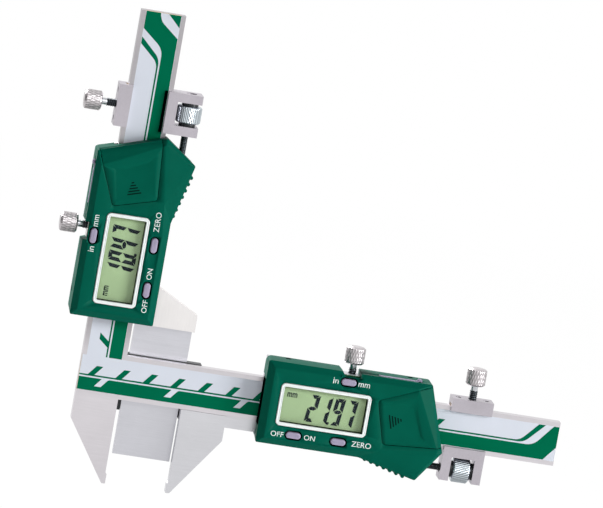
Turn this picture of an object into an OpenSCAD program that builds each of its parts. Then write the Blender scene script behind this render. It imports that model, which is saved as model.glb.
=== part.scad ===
// Gear tooth caliper with two electronic readouts.
// One L-shaped steel frame carries two beams. The slider on the level beam carries the moving jaw
// and reads the thickness of a tooth. The slider on the upright beam carries a blade that rests on
// the tooth's top and sets the height at which the jaws measure.
// Frame: X along the thickness beam, Z up along the height beam, the display side faces -Y.
// Origin: where both readings are zero, on the fixed jaw's measuring face at the jaw's tip.

/* [Readings] */
// Tooth thickness shown, the gap between the jaws
tooth_thickness = 21.97; // [1:0.01:40]
// Tooth height shown, the blade's edge above the jaw tips
tooth_height = 10.47; // [0:0.01:30]

/* [Frame] */
// Width of both beams
beam_w = 16; // [15:0.5:18]
// Thickness of both beams and both jaws
beam_t = 4; // [3.5:0.25:5]
// Length of the thickness beam, corner included
thickness_beam_l = 175; // [172:1:220]
// Height of the height beam above the thickness beam
height_beam_l = 124; // [120:1:170]
// Width of the printed scale labels
label_w = 12.8; // [11.6:0.2:13]
// Thickness of the printed scale labels
label_t = 0.2; // [0.1:0.05:0.3]
// Thickness of the measuring strips under the labels
strip_t = 0.8; // [0.5:0.1:1.2]

/* [Jaws] */
// Reach of the jaws below the thickness beam
jaw_reach = 31; // [28:0.5:40]
// Distance from the frame's outer edge to the fixed jaw's measuring face
fixed_jaw_w = 16; // [15:0.5:20]
// Width of the moving jaw at its shoulder
moving_jaw_w = 17; // [14:0.5:22]
// Width of a jaw at its tip
jaw_tip_w = 1.4; // [1:0.1:2]
// Height of the measuring land at a jaw's tip
jaw_land_h = 3.5; // [2:0.25:6]
// Depth of the relief above the land
jaw_relief = 0.5; // [0.2:0.1:0.8]
// Height of the straight shoulder of a jaw
jaw_shoulder_h = 9.3; // [6:0.1:12]
// Height of the shank that carries the moving jaw
shank_h = 4.3; // [3:0.1:4.4]

/* [Height blade] */
// Width of the blade
blade_w = 20.8; // [14:0.1:24]
// Thickness of the blade
blade_t = 2; // [1.5:0.1:2.4]
// Gap between the fixed jaw's face and the blade's edge
blade_offset = 1.3; // [0.8:0.1:1.8]
// Height of the arm's outer edge
arm_edge_h = 6.2; // [4:0.1:10]
// Thickness of the arm
arm_t = 4; // [3:0.25:4.5]

/* [Slider cases] */
// Length of the case along its upper edge
case_l = 60; // [59:0.5:66]
// How far the case's nose reaches past its upper edge
nose_l = 7.1; // [5:0.1:8]
// Height of the case above the beam's edge
case_over = 7.7; // [7.4:0.1:9]
// Depth of the case below the beam's other edge
case_under = 6.3; // [6.1:0.1:7.5]
// Height of the case's front over the beam's front
case_front = 8.5; // [8.3:0.1:9.5]
// Wall of the case
case_wall = 1.6; // [1.2:0.1:1.8]
// Width of the bevel round the case's front
bevel_w = 2.4; // [1.5:0.1:2.8]
// Depth of the bevel round the case's front
bevel_d = 2.3; // [1.5:0.1:2.6]
// Reach of the thumb rest below the case
thumb_drop = 5.5; // [5.2:0.1:6.5]
// Length of the case before the thumb rest starts
thumb_start = 37.8; // [34:0.1:40]
// Steel back of the slider, thickness
back_t = 2.4; // [1.6:0.1:3]

/* [Display] */
// Length of the display frame
bezel_l = 32.6; // [28:0.1:34]
// Height of the display frame
bezel_h = 14.9; // [12:0.1:15.6]
// Border of the display frame
bezel_border = 1.7; // [1:0.1:2.2]
// How far the display frame stands proud of the case
bezel_proud = 0.35; // [0.1:0.05:0.6]

/* [Buttons] */
// Length of a button
button_l = 5.4; // [4:0.1:6]
// Width of a button
button_w = 2.3; // [1.8:0.1:2.6]
// How far a button stands proud of the case
button_proud = 0.45; // [0.2:0.05:0.8]
// Travel of a button
button_travel = 0.4; // [0.2:0.05:0.5]

/* [Battery] */
// Diameter of the button cell
cell_d = 11.6; // [9.5:0.1:11.6]
// Thickness of the button cell
cell_t = 5.4; // [3:0.1:5.4]
// Thickness of the battery cover
cover_t = 1.2; // [1:0.1:1.2]

/* [Screws and fine feed] */
// Diameter of a lock screw's knob
knob_d = 7.1; // [6:0.1:8]
// Height of a lock screw's knob
knob_h = 6.3; // [5:0.1:8]
// Diameter of a lock screw's shank
lock_d = 3; // [2:0.1:3.4]
// Diameter of the feed rod
rod_d = 3; // [2:0.1:3]
// Diameter of the feed nut
nut_d = 9.2; // [7:0.1:9.4]
// Length of the knurled part of the feed nut
nut_l = 6.2; // [4:0.1:7.2]
// Length of the clamp block along the beam
clamp_l = 15.1; // [14.6:0.1:17]
// Window of the clamp block, along the beam
window_l = 8.5; // [8.2:0.1:9.5]
// Gap between the case's nose and the clamp block
clamp_gap = 1.4; // [1.2:0.1:4]

/* [Hidden] */
$fn = 48;

// Clearances
slide_gap = 0.1;     // between a sliding face and its guide
shaft_gap = 0.05;    // radial, a shaft that turns or slides in its bore
open_gap = 0.35;     // radial, a shaft that only passes through a hole
part_gap = 0.15;     // between a cover or button and its opening
overcut = 1;         // how far a cut runs past the face that it opens

// Colours
steel = [0.78, 0.77, 0.78];
nickel = [0.85, 0.84, 0.82];
black_steel = [0.12, 0.12, 0.13];
bronze = [0.72, 0.52, 0.3];
green = [0.0, 0.36, 0.27];
label_green = [0.0, 0.4, 0.28];
silver_white = [0.85, 0.9, 0.92];
lavender = [0.72, 0.67, 0.78];
lcd_green = [0.67, 0.76, 0.57];
board_green = [0.1, 0.35, 0.15];
brass = [0.85, 0.7, 0.35];

// Frame positions
half_w = beam_w / 2;
beam_front = -beam_t / 2;
beam_back = beam_t / 2;
beam_low_z = jaw_reach;
beam_mid_z = jaw_reach + half_w;
beam_top_z = jaw_reach + beam_w;
frame_left_x = -fixed_jaw_w;
upright_mid_x = frame_left_x + half_w;
frame_right_x = frame_left_x + thickness_beam_l;
frame_top_z = beam_top_z + height_beam_l;
groove_d = strip_t + label_t;
label_end_gap = 0.1;
corner_r = 0.6;

// Slider frame: u along the beam, w from front to back, v across the beam from its middle
case_top = half_w + case_over;
case_low = -half_w - case_under;
front_w = beam_front - case_front;
rail_front = beam_front - 1.8;
lip_reach = 1.4;
jaw_to_case = 28.03;       // moving jaw's measuring face to the thickness case's end
blade_to_case = 49.73;     // blade's edge to the height case's end
thickness_u0 = tooth_thickness + jaw_to_case;
height_u0 = tooth_height + blade_to_case;
nose_v = -0.7 - half_w;                 // where the case's nose is longest
thumb_tip_u = case_l - 2.2;
thumb_tip_v = case_low - thumb_drop;
end_bevel_top = 5.4;
end_bevel_low = 2.9;
thumb_bevel = 5.9;
thumb_root = 10;           // how far along the case the thumb rest's root lies
back_w = beam_back + slide_gap;
gib_t = 1.2;
rail_gap = gib_t + slide_gap;
rail_u0 = case_wall + slide_gap;
rail_u1 = case_l - 2.5;
rail_top = case_top - case_wall - slide_gap;
rail_low = case_low + case_wall + slide_gap;
back_inset = 0.4;

// Display, board and buttons
display_u = 21.3;
display_v = 0.85;
window_w = bezel_l - 2 * bezel_border;
window_h = bezel_h - 2 * bezel_border;
bezel_r = 1.6;
bezel_depth = 2.3;
bezel_back = front_w - bezel_proud + bezel_depth;
lens_t = 0.8;
lcd_t = 1.8;
lcd_margin = 1;
board_t = 1;
board_front = rail_front - board_t;
head_t = 1.3;
switch_h = 1.2;
unit_uv = [29.1, case_top - 3.5];
power_uv = [12.2, case_low + 4.6];
zero_uv = [28.4, case_low + 4.8];
flange_t = 0.6;
flange_rim = 1.3;          // how much wider a button is behind the wall
button_gap = 0.35;         // dark gap round a button

// Battery and its cover
cell_inset = 8.5;          // from the case's end to the cell's middle
cell_u = case_l - cell_inset;
cell_v = 1.5;
cover_inset = 2.7;         // from the display frame to the battery cover
cover_lean = 4.4;          // how far the cover's left edge leans
cover_top_u = display_u + bezel_l / 2 + cover_inset;
cover_low_u = cover_top_u + cover_lean;
cover_v0 = -7.8;
cover_v1 = 7.3;
cover_lip_w = front_w + bevel_d + 0.6;
cell_w0 = rail_front;
seam_gap = 0.2;

// Data port in the case's upper side
port_l = 16;
port_inset = 4;
port_u1 = case_l - port_inset;
port_u0 = port_u1 - port_l;
port_w = front_w + 4.6;
port_width = 2;

// Screws
screw_r = 1;
head_r = 1.8;
head_h = 1;
slot_w = 0.5;
slot_d = 0.5;
gib_screw_inset = 7.75;
gib_screw_u = [gib_screw_inset, case_l - gib_screw_inset];
case_screw_inset = [4, 16.5];
case_screw_u = [case_screw_inset[0], case_l - case_screw_inset[1]];
post_r = 2;                // posts of the case that take the case screws
case_screw_v = [(rail_low - half_w) / 2, (half_w + rail_gap + rail_top) / 2];
lock_u = 31.3;
knob_lift = 9.6;           // from the beam's edge to a lock screw's knob
notch_d = 1.2;

// Fine feed
clamp_u0 = case_l + nose_l + clamp_gap;
clamp_mid = clamp_l / 2;
clamp_lip_t = 1.6;
clamp_front = beam_front - slide_gap - clamp_lip_t;
clamp_back_t = 2.2;
clamp_over = 3.3;
clamp_gib_t = 0.8;
clamp_under = 10.9;
clamp_low = -half_w - clamp_under;
window_top = -half_w - 2.2;
arm_left = clamp_l - window_l - 3.2;
rod_v = window_top - 0.2 - nut_d / 2;
rod_boss_u = [case_l - 6.6, case_l - 2];
rod_end = clamp_u0 + arm_left + window_l + 1.5;
clamp_knob_lift = 8.5;
set_screw_off = 5.1;

// Blade guide on the frame's back
guide_front_t = 0.8;
guide_plate_t = 1.2;
blade_front = beam_back + guide_front_t + slide_gap;
blade_back = blade_front + blade_t;
guide_left_x = -5;
guide_right_x = blade_offset + blade_w + 5.4;
guide_plate_w = blade_back + slide_gap;
guide_top_z = beam_top_z + 0.25;
guide_low_z = beam_low_z - 4.4;
guide_leg_gap = 0.25;
arm_low_z = height_u0 - 1.2;
blade_x1 = blade_offset + blade_w;
arm_right_x = blade_x1 + 0.5;
arm_slope = 0.535;
blade_shoulder_z = arm_low_z + 1.3;
blade_top_z = arm_low_z + arm_edge_h - 0.2;
blade_neck_x = upright_mid_x - case_low + 0.3;
arm_slot_u = arm_low_z + arm_edge_h + arm_slope * (arm_right_x - upright_mid_x + rail_low) - height_u0 + 0.4;
guide_screw_inset = [2.6, 4];
guide_screw_x = [guide_left_x + guide_screw_inset[0], guide_right_x - guide_screw_inset[0]];
guide_screw_z = [beam_low_z + guide_screw_inset[1], beam_top_z - guide_screw_inset[1]];
screw_bite = 2.4;          // how far a screw reaches into the frame or the arm
blade_screw_inset = 3.4;
blade_screw_x = [blade_neck_x + blade_screw_inset, blade_x1 - blade_screw_inset];
blade_screw_z = arm_low_z + 4.6;

// Helpers

// An outline drawn in X and Z, thickened from y0 to y1
module plate(y0, y1) {
    translate([0, y1, 0]) rotate([90, 0, 0]) linear_extrude(y1 - y0) children();
}

// A rectangle from its low corner to its high corner
module rect(x0, z0, x1, z1) {
    translate([x0, z0]) square([x1 - x0, z1 - z0]);
}

// A box from its low corner to its high corner
module block(p, q) {
    translate(p) cube(q - p);
}

// A pill outline of length l and width w
module pill(l, w) {
    square([l - w, w], center = true);
    for (s = [-1, 1]) translate([s * (l - w) / 2, 0]) circle(d = w);
}

// A rectangle with round corners, about its middle
module round_rect(l, h, r) {
    square([l - 2 * r, h], center = true);
    square([l, h - 2 * r], center = true);
    for (sx = [-1, 1]) for (sz = [-1, 1])
        translate([sx * (l / 2 - r), sz * (h / 2 - r)]) circle(r = r);
}

// A round bar along u from u0 to u1 with its middle at [w, v]
module bar_u(u0, u1, wv, r) {
    translate([u0, wv[0], wv[1]]) rotate([0, 90, 0]) cylinder(h = u1 - u0, r = r);
}

// A round bar along w from w0 to w1 with its middle at [u, v]
module bar_w(w0, w1, uv, r) {
    translate([uv[0], w1, uv[1]]) rotate([90, 0, 0]) cylinder(h = w1 - w0, r = r);
}

// A round bar along v from v0 to v1 with its middle at [u, w]
module bar_v(v0, v1, uw, r) {
    translate([uw[0], uw[1], v0]) cylinder(h = v1 - v0, r = r);
}

// Places a slider part on the thickness beam
module on_thickness() {
    translate([thickness_u0, 0, beam_mid_z]) children();
}

// Places a slider part on the height beam, turned so that u points up
module on_height() {
    translate([upright_mid_x, 0, height_u0]) rotate([0, -90, 0]) children();
}

// A flat-headed screw along w, its head at w_head and its tip at w_tip
module slotted_screw(uv, w_head, w_tip) {
    difference() {
        union() {
            bar_w(w_tip, w_head, uv, screw_r);
            bar_w(w_head - head_h, w_head, uv, head_r);
        }
        block([uv[0] - head_r - overcut, w_head - slot_d, uv[1] - slot_w / 2],
            [uv[0] + head_r + overcut, w_head + overcut, uv[1] + slot_w / 2]);
    }
}

// The hole for such a screw, with its counterbore
module screw_hole(uv, w_head, w_tip) {
    bar_w(w_tip, w_head + overcut, uv, screw_r + shaft_gap);
    bar_w(w_head - head_h, w_head + overcut, uv, head_r + shaft_gap);
}

// Frame

// Outline of the fixed jaw below the beam
module fixed_jaw_outline() {
    polygon([[frame_left_x, beam_low_z + corner_r], [frame_left_x, beam_low_z - jaw_shoulder_h],
        [-jaw_tip_w, 0], [0, 0], [0, jaw_land_h], [-jaw_relief, jaw_land_h + jaw_relief],
        [-jaw_relief, beam_low_z + corner_r]]);
}

module frame_outline() {
    rect(frame_left_x, beam_low_z, frame_right_x, beam_top_z);
    rect(frame_left_x, beam_low_z, frame_left_x + beam_w, frame_top_z);
    fixed_jaw_outline();
}

// Grooves that take the strips and labels
module thickness_label_outline(end_gap = 0) {
    rect(frame_left_x + end_gap, beam_mid_z - label_w / 2,
        frame_right_x - end_gap, beam_mid_z + label_w / 2);
}

module height_label_outline(end_gap = 0) {
    rect(upright_mid_x - label_w / 2, beam_mid_z + label_w / 2,
        upright_mid_x + label_w / 2, frame_top_z - end_gap);
}

module main_frame() {
    color(steel) difference() {
        plate(beam_front, beam_back) frame_outline();
        plate(beam_front - overcut, beam_front + groove_d) {
            thickness_label_outline();
            height_label_outline();
        }
        for (x = guide_screw_x) for (z = guide_screw_z)
            bar_w(beam_back - screw_bite - slide_gap, beam_back + overcut, [x, z], screw_r + shaft_gap);
    }
}

module thickness_scale_strip() {
    color(brass) plate(beam_front + label_t, beam_front + groove_d)
        thickness_label_outline(label_end_gap);
}

module height_scale_strip() {
    color(brass) plate(beam_front + label_t, beam_front + groove_d)
        height_label_outline(label_end_gap);
}

module thickness_label() {
    color(label_green) plate(beam_front, beam_front + label_t)
        thickness_label_outline(label_end_gap);
}

module height_label() {
    color(label_green) plate(beam_front, beam_front + label_t)
        height_label_outline(label_end_gap);
}

// Sleeve behind the thickness beam in which the blade slides
module blade_guide() {
    left_leg_x = blade_offset - guide_leg_gap;
    right_leg_x = blade_x1 + guide_leg_gap;
    color(black_steel) difference() {
        union() {
            plate(guide_plate_w, guide_plate_w + guide_plate_t)
                rect(guide_left_x, guide_low_z, guide_right_x, guide_top_z);
            plate(beam_back + slide_gap, guide_plate_w) {
                rect(guide_left_x, guide_low_z, left_leg_x, guide_top_z);
                rect(right_leg_x, guide_low_z, guide_right_x, guide_top_z);
            }
            plate(beam_back, beam_back + guide_front_t)
                rect(guide_left_x, beam_low_z + 0.5, guide_right_x, guide_top_z);
        }
        for (x = guide_screw_x) for (z = guide_screw_z)
            screw_hole([x, z], guide_plate_w + guide_plate_t, beam_back - overcut);
    }
}

module guide_screws() {
    color(steel) for (x = guide_screw_x) for (z = guide_screw_z)
        slotted_screw([x, z], guide_plate_w + guide_plate_t, beam_back - screw_bite);
}

// Blade that rests on the tooth
module height_blade() {
    color(steel) difference() {
        plate(blade_front, blade_back) {
            rect(blade_offset, tooth_height, blade_x1, blade_shoulder_z);
            polygon([[blade_neck_x, blade_shoulder_z], [blade_x1, blade_shoulder_z],
                [blade_x1, blade_top_z], [blade_neck_x, blade_top_z + arm_slope * (blade_x1 - blade_neck_x)]]);
        }
        for (x = blade_screw_x)
            screw_hole([x, blade_screw_z], blade_back, blade_front - overcut);
    }
}

module blade_screws() {
    color(nickel) for (x = blade_screw_x)
        slotted_screw([x, blade_screw_z], blade_back, blade_front - screw_bite);
}

// Slider parts, drawn in u, w and v

// Outline of the case in u and v, drawn in by d
module case_main_outline(d = 0) {
    polygon([[d, case_low + d], [d, case_top - d], [case_l - d, case_top - d],
        [case_l + nose_l - 1.25 * d, nose_v], [case_l + 2.4 - 1.25 * d, case_low + d]]);
}

module case_thumb_outline(d = 0) {
    polygon([[thumb_start, case_low + d], [thumb_tip_u, thumb_tip_v + d],
        [case_l + nose_l - 1.25 * d, nose_v], [thumb_start + thumb_root, 0]]);
}

module case_front_main() {
    polygon([[bevel_w, case_low + bevel_w], [bevel_w, case_top - bevel_w],
        [case_l - end_bevel_top, case_top - bevel_w],
        [case_l + nose_l - end_bevel_low, nose_v], [case_l - 1, case_low + bevel_w]]);
}

module case_front_thumb() {
    polygon([[thumb_start + thumb_bevel, case_low + 3], [thumb_tip_u, thumb_tip_v + bevel_w],
        [case_l + nose_l - end_bevel_low, nose_v], [thumb_start + thumb_root, 0]]);
}

// The outer form of the case
module case_form() {
    skin = 0.01;
    hull() {
        plate(front_w + bevel_d, back_w) case_main_outline();
        plate(front_w, front_w + skin) case_front_main();
    }
    hull() {
        plate(front_w + bevel_d, back_w) case_thumb_outline();
        plate(front_w, front_w + skin) case_front_thumb();
    }
}

// The hollow of the case
module case_hollow() {
    d = case_wall;
    plate(front_w + bevel_d + 0.4, back_w + overcut) {
        case_main_outline(d);
        case_thumb_outline(d);
    }
    plate(front_w + case_wall, front_w + bevel_d + 0.5)
        polygon([[bevel_w + d, case_low + bevel_w + d], [bevel_w + d, case_top - bevel_w - d / 2],
            [case_l - end_bevel_top - d / 2, case_top - bevel_w - d / 2],
            [case_l + nose_l - end_bevel_low - 2 * d, nose_v],
            [case_l - 3, case_low + bevel_w + d]]);
}

// Outline of the battery cover, drawn in by gap
module cover_outline(gap = 0) {
    right_u = case_l + nose_l + overcut;
    polygon([[cover_top_u + gap, cover_v1 - gap], [case_l - end_bevel_top, case_top - bevel_w - gap],
        [case_l, case_top - 0.3 - gap], [right_u, case_top - gap],
        [right_u, cover_v0 + 1.5 + gap], [cover_low_u + gap, cover_v0 + gap]]);
}

// Where the cover wraps round the case's bevelled end
module cover_end_outline(gap = 0) {
    intersection() {
        cover_outline(gap);
        polygon([[case_l - end_bevel_top + 2.2, case_top], [case_l + nose_l + overcut, case_top],
            [case_l + nose_l + overcut, cover_v0], [case_l + nose_l - end_bevel_low, cover_v0]]);
    }
}

// Three pill-shaped openings for the buttons
module button_openings(grow) {
    for (uv = [unit_uv, power_uv, zero_uv])
        translate([uv[0], uv[1]]) pill(button_l + 2 * grow, button_w + 2 * grow);
}

// Short ridges along the thumb rest
module thumb_ridges() {
    count = 7;
    first = 2.2;
    last = 3.4;
    slope = -thumb_drop / (thumb_tip_u - thumb_start);
    pitch = (thumb_tip_u - thumb_start - first - last) / (count - 1);
    for (i = [0 : count - 1]) {
        u = thumb_start + first + i * pitch;
        bar_w(front_w + bevel_d + 0.5, back_w - 0.5, [u, case_low + slope * (u - thumb_start) + 0.1], 0.5);
    }
}

// Moulded case; left_low and side_slot open it for the shank or for the arm
module housing(left_low, side_slot) {
    beam_gap = 0.3;
    color(green) difference() {
        union() {
            difference() {
                union() {
                    case_form();
                    thumb_ridges();
                }
                case_hollow();
            }
            // Posts that take the case screws
            for (u = case_screw_u) for (v = case_screw_v)
                bar_w(front_w + case_wall - 0.2, rail_front, [u, v], post_r);
        }
        // Room for the beam
        block([-overcut, beam_front - 0.7, -half_w - beam_gap],
            [case_l + nose_l + overcut, back_w + overcut, half_w + rail_gap + slide_gap]);
        // Room for the shank or the arm
        if (left_low != 0)
            block([-overcut, beam_front - 0.1, left_low], [case_wall + overcut, back_w + overcut, 0]);
        if (side_slot != 0)
            block([-overcut, blade_front - arm_t - part_gap, case_low - overcut],
                [side_slot, back_w + overcut, -half_w]);
        // Display, buttons and battery
        plate(front_w - overcut, front_w + bevel_d + 1)
            translate([display_u, display_v]) round_rect(bezel_l + 0.1, bezel_h + 0.1, bezel_r);
        plate(front_w - overcut, front_w + bevel_d + 1) button_openings(button_gap);
        plate(front_w + case_wall, front_w + bevel_d + 0.5) button_openings(flange_rim / 2 + part_gap);
        plate(front_w - overcut, front_w + cover_t + part_gap) cover_outline();
        plate(front_w - overcut, cover_lip_w + part_gap) cover_end_outline();
        bar_w(front_w, rail_front, [cell_u, cell_v], cell_d / 2 + 0.3);
        // Data port
        block([port_u0, port_w - port_width / 2, case_top - 2.2],
            [port_u1, port_w + port_width / 2, case_top + overcut]);
        // Notch and hole for the lock screw, and two holes over the gib screws
        translate([0, back_w + overcut, 0]) plate(front_w - back_w, 0)
            polygon([[lock_u - 5.2, case_top + 0.01], [lock_u - 2.9, case_top - notch_d],
                [lock_u + 2.8, case_top - notch_d], [lock_u + 2.8, case_top + 0.01]]);
        bar_v(half_w, case_top + overcut, [lock_u, 0], lock_d / 2 + open_gap);
        for (u = gib_screw_u) bar_v(half_w, case_top + overcut, [u, 0], screw_r + 0.1);
        // Hole for the feed rod
        bar_u(case_l - 2, case_l + nose_l, [0, rod_v], rod_d / 2 + open_gap);
        // Screw holes in the posts
        for (u = case_screw_u) for (v = case_screw_v)
            bar_w(front_w + case_wall, rail_front + overcut, [u, v], screw_r + shaft_gap);
    }
}

// Holes through a slider for the four case screws
module case_screw_holes() {
    for (u = case_screw_u) for (v = case_screw_v)
        screw_hole([u, v], back_w + back_t, rail_front - overcut);
}

// Steel body of a slider: back, two rails with lips over the beam, and the rod's boss
module slider_body() {
    difference() {
        union() {
            plate(back_w, back_w + back_t) {
                case_main_outline(back_inset);
                case_thumb_outline(back_inset);
            }
            block([rail_u0, rail_front, half_w + rail_gap], [rail_u1, back_w, rail_top]);
            block([rail_u0, rail_front, rail_low], [rail_u1, back_w, -half_w - slide_gap]);
            block([rail_u0, rail_front, half_w - lip_reach],
                [rail_u1, beam_front - slide_gap, half_w + rail_gap]);
            block([rail_u0, rail_front, -half_w - slide_gap],
                [rail_u1, beam_front - slide_gap, -half_w + lip_reach]);
            block([rod_boss_u[0], -rod_d / 2 - 1, rod_v - rod_d / 2 - 0.4],
                [rod_boss_u[1], back_w, rail_low]);
        }
        bar_v(half_w, case_top + overcut, [lock_u, 0], lock_d / 2 + shaft_gap);
        for (u = gib_screw_u) bar_v(half_w, case_top + overcut, [u, 0], screw_r + shaft_gap);
        case_screw_holes();
        bar_u(rod_boss_u[0] - overcut, case_l + overcut, [0, rod_v], rod_d / 2 + shaft_gap);
    }
}

module gib() {
    color(bronze) block([rail_u0, beam_front, half_w + slide_gap / 2],
        [rail_u1, beam_back, half_w + slide_gap / 2 + gib_t]);
}

module gib_screws() {
    color(steel) for (u = gib_screw_u) difference() {
        bar_v(half_w + rail_gap, rail_top - 0.5, [u, 0], screw_r);
        block([u - screw_r - overcut, -slot_w / 2, rail_top - 0.5 - slot_d],
            [u + screw_r + overcut, slot_w / 2, rail_top]);
    }
}

module case_screws() {
    color(steel) for (u = case_screw_u) for (v = case_screw_v)
        slotted_screw([u, v], back_w + back_t, rail_front - 3);
}

// Board on the rails, with the reading head, three switches and the display's contact strips
module circuit_board() {
    board_low = rail_low + 0.1;
    board_top = rail_top - 0.1;
    board_u0 = case_screw_u[0] + 2.3;
    lcd_h = window_h + 2 * lcd_margin;
    color(board_green) {
        difference() {
            plate(board_front, rail_front) {
                rect(board_u0, board_low, display_u + bezel_l / 2, board_top);
                rect(board_u0, -half_w - 0.2, case_l - 1.5, half_w + 0.2);
            }
            bar_w(board_front - overcut, rail_front + overcut, [cell_u, cell_v], cell_d / 2 + 0.3);
        }
        plate(rail_front, rail_front + head_t)
            rect(board_u0 + 1, -half_w + lip_reach + 0.3, display_u + bezel_l / 2, half_w - lip_reach - 0.3);
        for (uv = [unit_uv, power_uv, zero_uv])
            block([uv[0] - 1.5, board_front - switch_h, uv[1] - 1], [uv[0] + 1.5, board_front, uv[1] + 1]);
        for (s = [-1, 1])
            block([display_u - window_w / 2, bezel_back + lcd_t, display_v + s * (lcd_h / 2 - 0.8) - 0.6],
                [display_u + window_w / 2, board_front, display_v + s * (lcd_h / 2 - 0.8) + 0.6]);
    }
}

module lcd_panel() {
    color(lcd_green) plate(bezel_back, bezel_back + lcd_t)
        translate([display_u, display_v])
            square([window_w + 2 * lcd_margin, window_h + 2 * lcd_margin], center = true);
}

module display_bezel() {
    color(silver_white) plate(front_w - bezel_proud, bezel_back)
        translate([display_u, display_v]) difference() {
            round_rect(bezel_l, bezel_h, bezel_r);
            round_rect(window_w, window_h, bezel_r / 2);
        }
}

module display_window() {
    color([0.9, 0.95, 0.95, 0.35]) plate(front_w + 0.2, front_w + 0.2 + lens_t)
        translate([display_u, display_v]) round_rect(window_w, window_h, bezel_r / 2);
}

// Button with a flange behind the case's wall and a stem over its switch
module button(uv) {
    flange_w = front_w + case_wall + shaft_gap;
    color(lavender) translate([uv[0], 0, uv[1]]) {
        plate(front_w - button_proud, flange_w) pill(button_l, button_w);
        plate(flange_w, flange_w + flange_t) pill(button_l + flange_rim, button_w + flange_rim);
        plate(flange_w + flange_t, board_front - switch_h - button_travel - 0.05)
            square([2, 1.6], center = true);
    }
}

// Sliding cover over the button cell, with a hollow for the thumb and five raised bars
module battery_cover() {
    lean = cover_lean / (cover_v1 - cover_v0);
    hollow_u = cover_top_u + 3;
    hollow_tilt = 2;
    bar_count = 5;
    bar_pitch = 0.95;
    bar_half = 2.4;
    color(green) union() {
        difference() {
            intersection() {
                case_form();
                union() {
                    plate(front_w - overcut, front_w + cover_t) cover_outline(seam_gap);
                    plate(front_w - overcut, cover_lip_w) cover_end_outline(seam_gap);
                }
            }
            // Hollow for the thumb, deepest at its outer end
            translate([hollow_u, front_w, 0]) rotate([0, 0, hollow_tilt]) plate(-overcut, 0)
                polygon([[0, cover_v1 - 0.9], [case_l - 7.2 - hollow_u, cover_v1 + 1.3],
                    [case_l - 1.2 - hollow_u, cover_v0 + 3.6], [3.4, cover_v0 + 1.4]]);
        }
        for (i = [0 : bar_count - 1]) {
            half = bar_half * (1 - i / bar_count);
            u = hollow_u + 2.5 + bar_pitch * i;
            v = 0.4 + 0.3 * bar_pitch * i;
            plate(front_w - 0.05, front_w + cover_t / 2)
                polygon([[u - lean * half, v + half], [u + bar_pitch / 2 - lean * half, v + half],
                    [u + bar_pitch / 2 + lean * half, v - half], [u + lean * half, v - half]]);
        }
    }
}

module battery() {
    rim = 0.5;
    color(nickel) {
        bar_w(cell_w0 - cell_t + rim, cell_w0, [cell_u, cell_v], cell_d / 2);
        bar_w(cell_w0 - cell_t, cell_w0 - cell_t + rim, [cell_u, cell_v], cell_d / 2 - 0.8);
    }
}

// One spring strip under the cell and one beside it
module battery_contacts() {
    sheet = 0.3;
    color(brass) {
        block([cell_u - cell_d / 2 - 1.8, cell_w0, cell_v - 2.5],
            [cell_u + cell_d / 2 + 1.8, cell_w0 + sheet, cell_v + 2.5]);
        block([cell_u - cell_d / 2 - 0.9, board_front - 2.6, cell_v - 2],
            [cell_u - cell_d / 2 - 0.9 + sheet, board_front, cell_v + 2]);
        block([cell_u - cell_d / 2 - 0.6, board_front - 2.6, cell_v - 2],
            [cell_u - cell_d / 2 - 0.05, board_front - 2.3, cell_v + 2]);
    }
}

// Slim plug over the data port, with a nub to pull it by
module port_cover() {
    color(lavender) {
        block([port_u0 + part_gap, port_w - port_width / 2 + part_gap, case_top - 1.6],
            [port_u1 - part_gap, port_w + port_width / 2 - part_gap, case_top + 0.1]);
        block([port_u1 - part_gap - 1.6, port_w - port_width / 2 + part_gap, case_top + 0.1],
            [port_u1 - part_gap, port_w + port_width / 2 - part_gap, case_top + 0.9]);
    }
}

// Knurled thumbscrew: lift is the height of its knob's underside, tip the height of its end
module thumbscrew(u, tip, lift) {
    color(nickel) {
        bar_v(tip, lift, [u, 0], lock_d / 2);
        bar_v(lift, lift + 0.5, [u, 0], knob_d / 2 - 0.5);
        bar_v(lift + 0.5, lift + knob_h - 0.5, [u, 0], knob_d / 2);
        bar_v(lift + knob_h - 0.5, lift + knob_h, [u, 0], knob_d / 2 - 0.5);
    }
}

module lock_screw() {
    thumbscrew(lock_u, half_w + slide_gap / 2 + gib_t + shaft_gap, half_w + knob_lift);
}

module feed_rod() {
    color(black_steel) bar_u(rod_boss_u[0], rod_end, [0, rod_v], rod_d / 2);
}

// Clamp that grips the beam; the feed nut turns in its window
module clamp_block() {
    u0 = clamp_u0;
    u1 = clamp_u0 + clamp_l;
    color(steel) difference() {
        block([u0, clamp_front, clamp_low], [u1, back_w + clamp_back_t, half_w + clamp_over]);
        // Room for the beam and the gib, open at the front between the lips
        block([u0 - overcut, beam_front - slide_gap, -half_w - slide_gap],
            [u1 + overcut, back_w, half_w + clamp_gib_t + slide_gap]);
        block([u0 - overcut, clamp_front - overcut, -half_w + 1.5],
            [u1 + overcut, beam_front, half_w - 1.5]);
        // Window for the nut
        block([u0 + arm_left, clamp_front - overcut, clamp_low - overcut],
            [u0 + arm_left + window_l, back_w + clamp_back_t + overcut, window_top]);
        bar_u(u0 - overcut, u1 + overcut, [0, rod_v], rod_d / 2 + open_gap);
        bar_v(half_w, half_w + clamp_over + overcut, [u0 + clamp_mid, 0], lock_d / 2 + shaft_gap);
        for (s = [-1, 1])
            bar_v(half_w, half_w + clamp_over + overcut, [u0 + clamp_mid + s * set_screw_off, 0],
                screw_r + shaft_gap);
    }
}

module clamp_gib() {
    color(bronze) block([clamp_u0, beam_front, half_w + slide_gap / 2],
        [clamp_u0 + clamp_l, beam_back, half_w + slide_gap / 2 + clamp_gib_t]);
}

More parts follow.
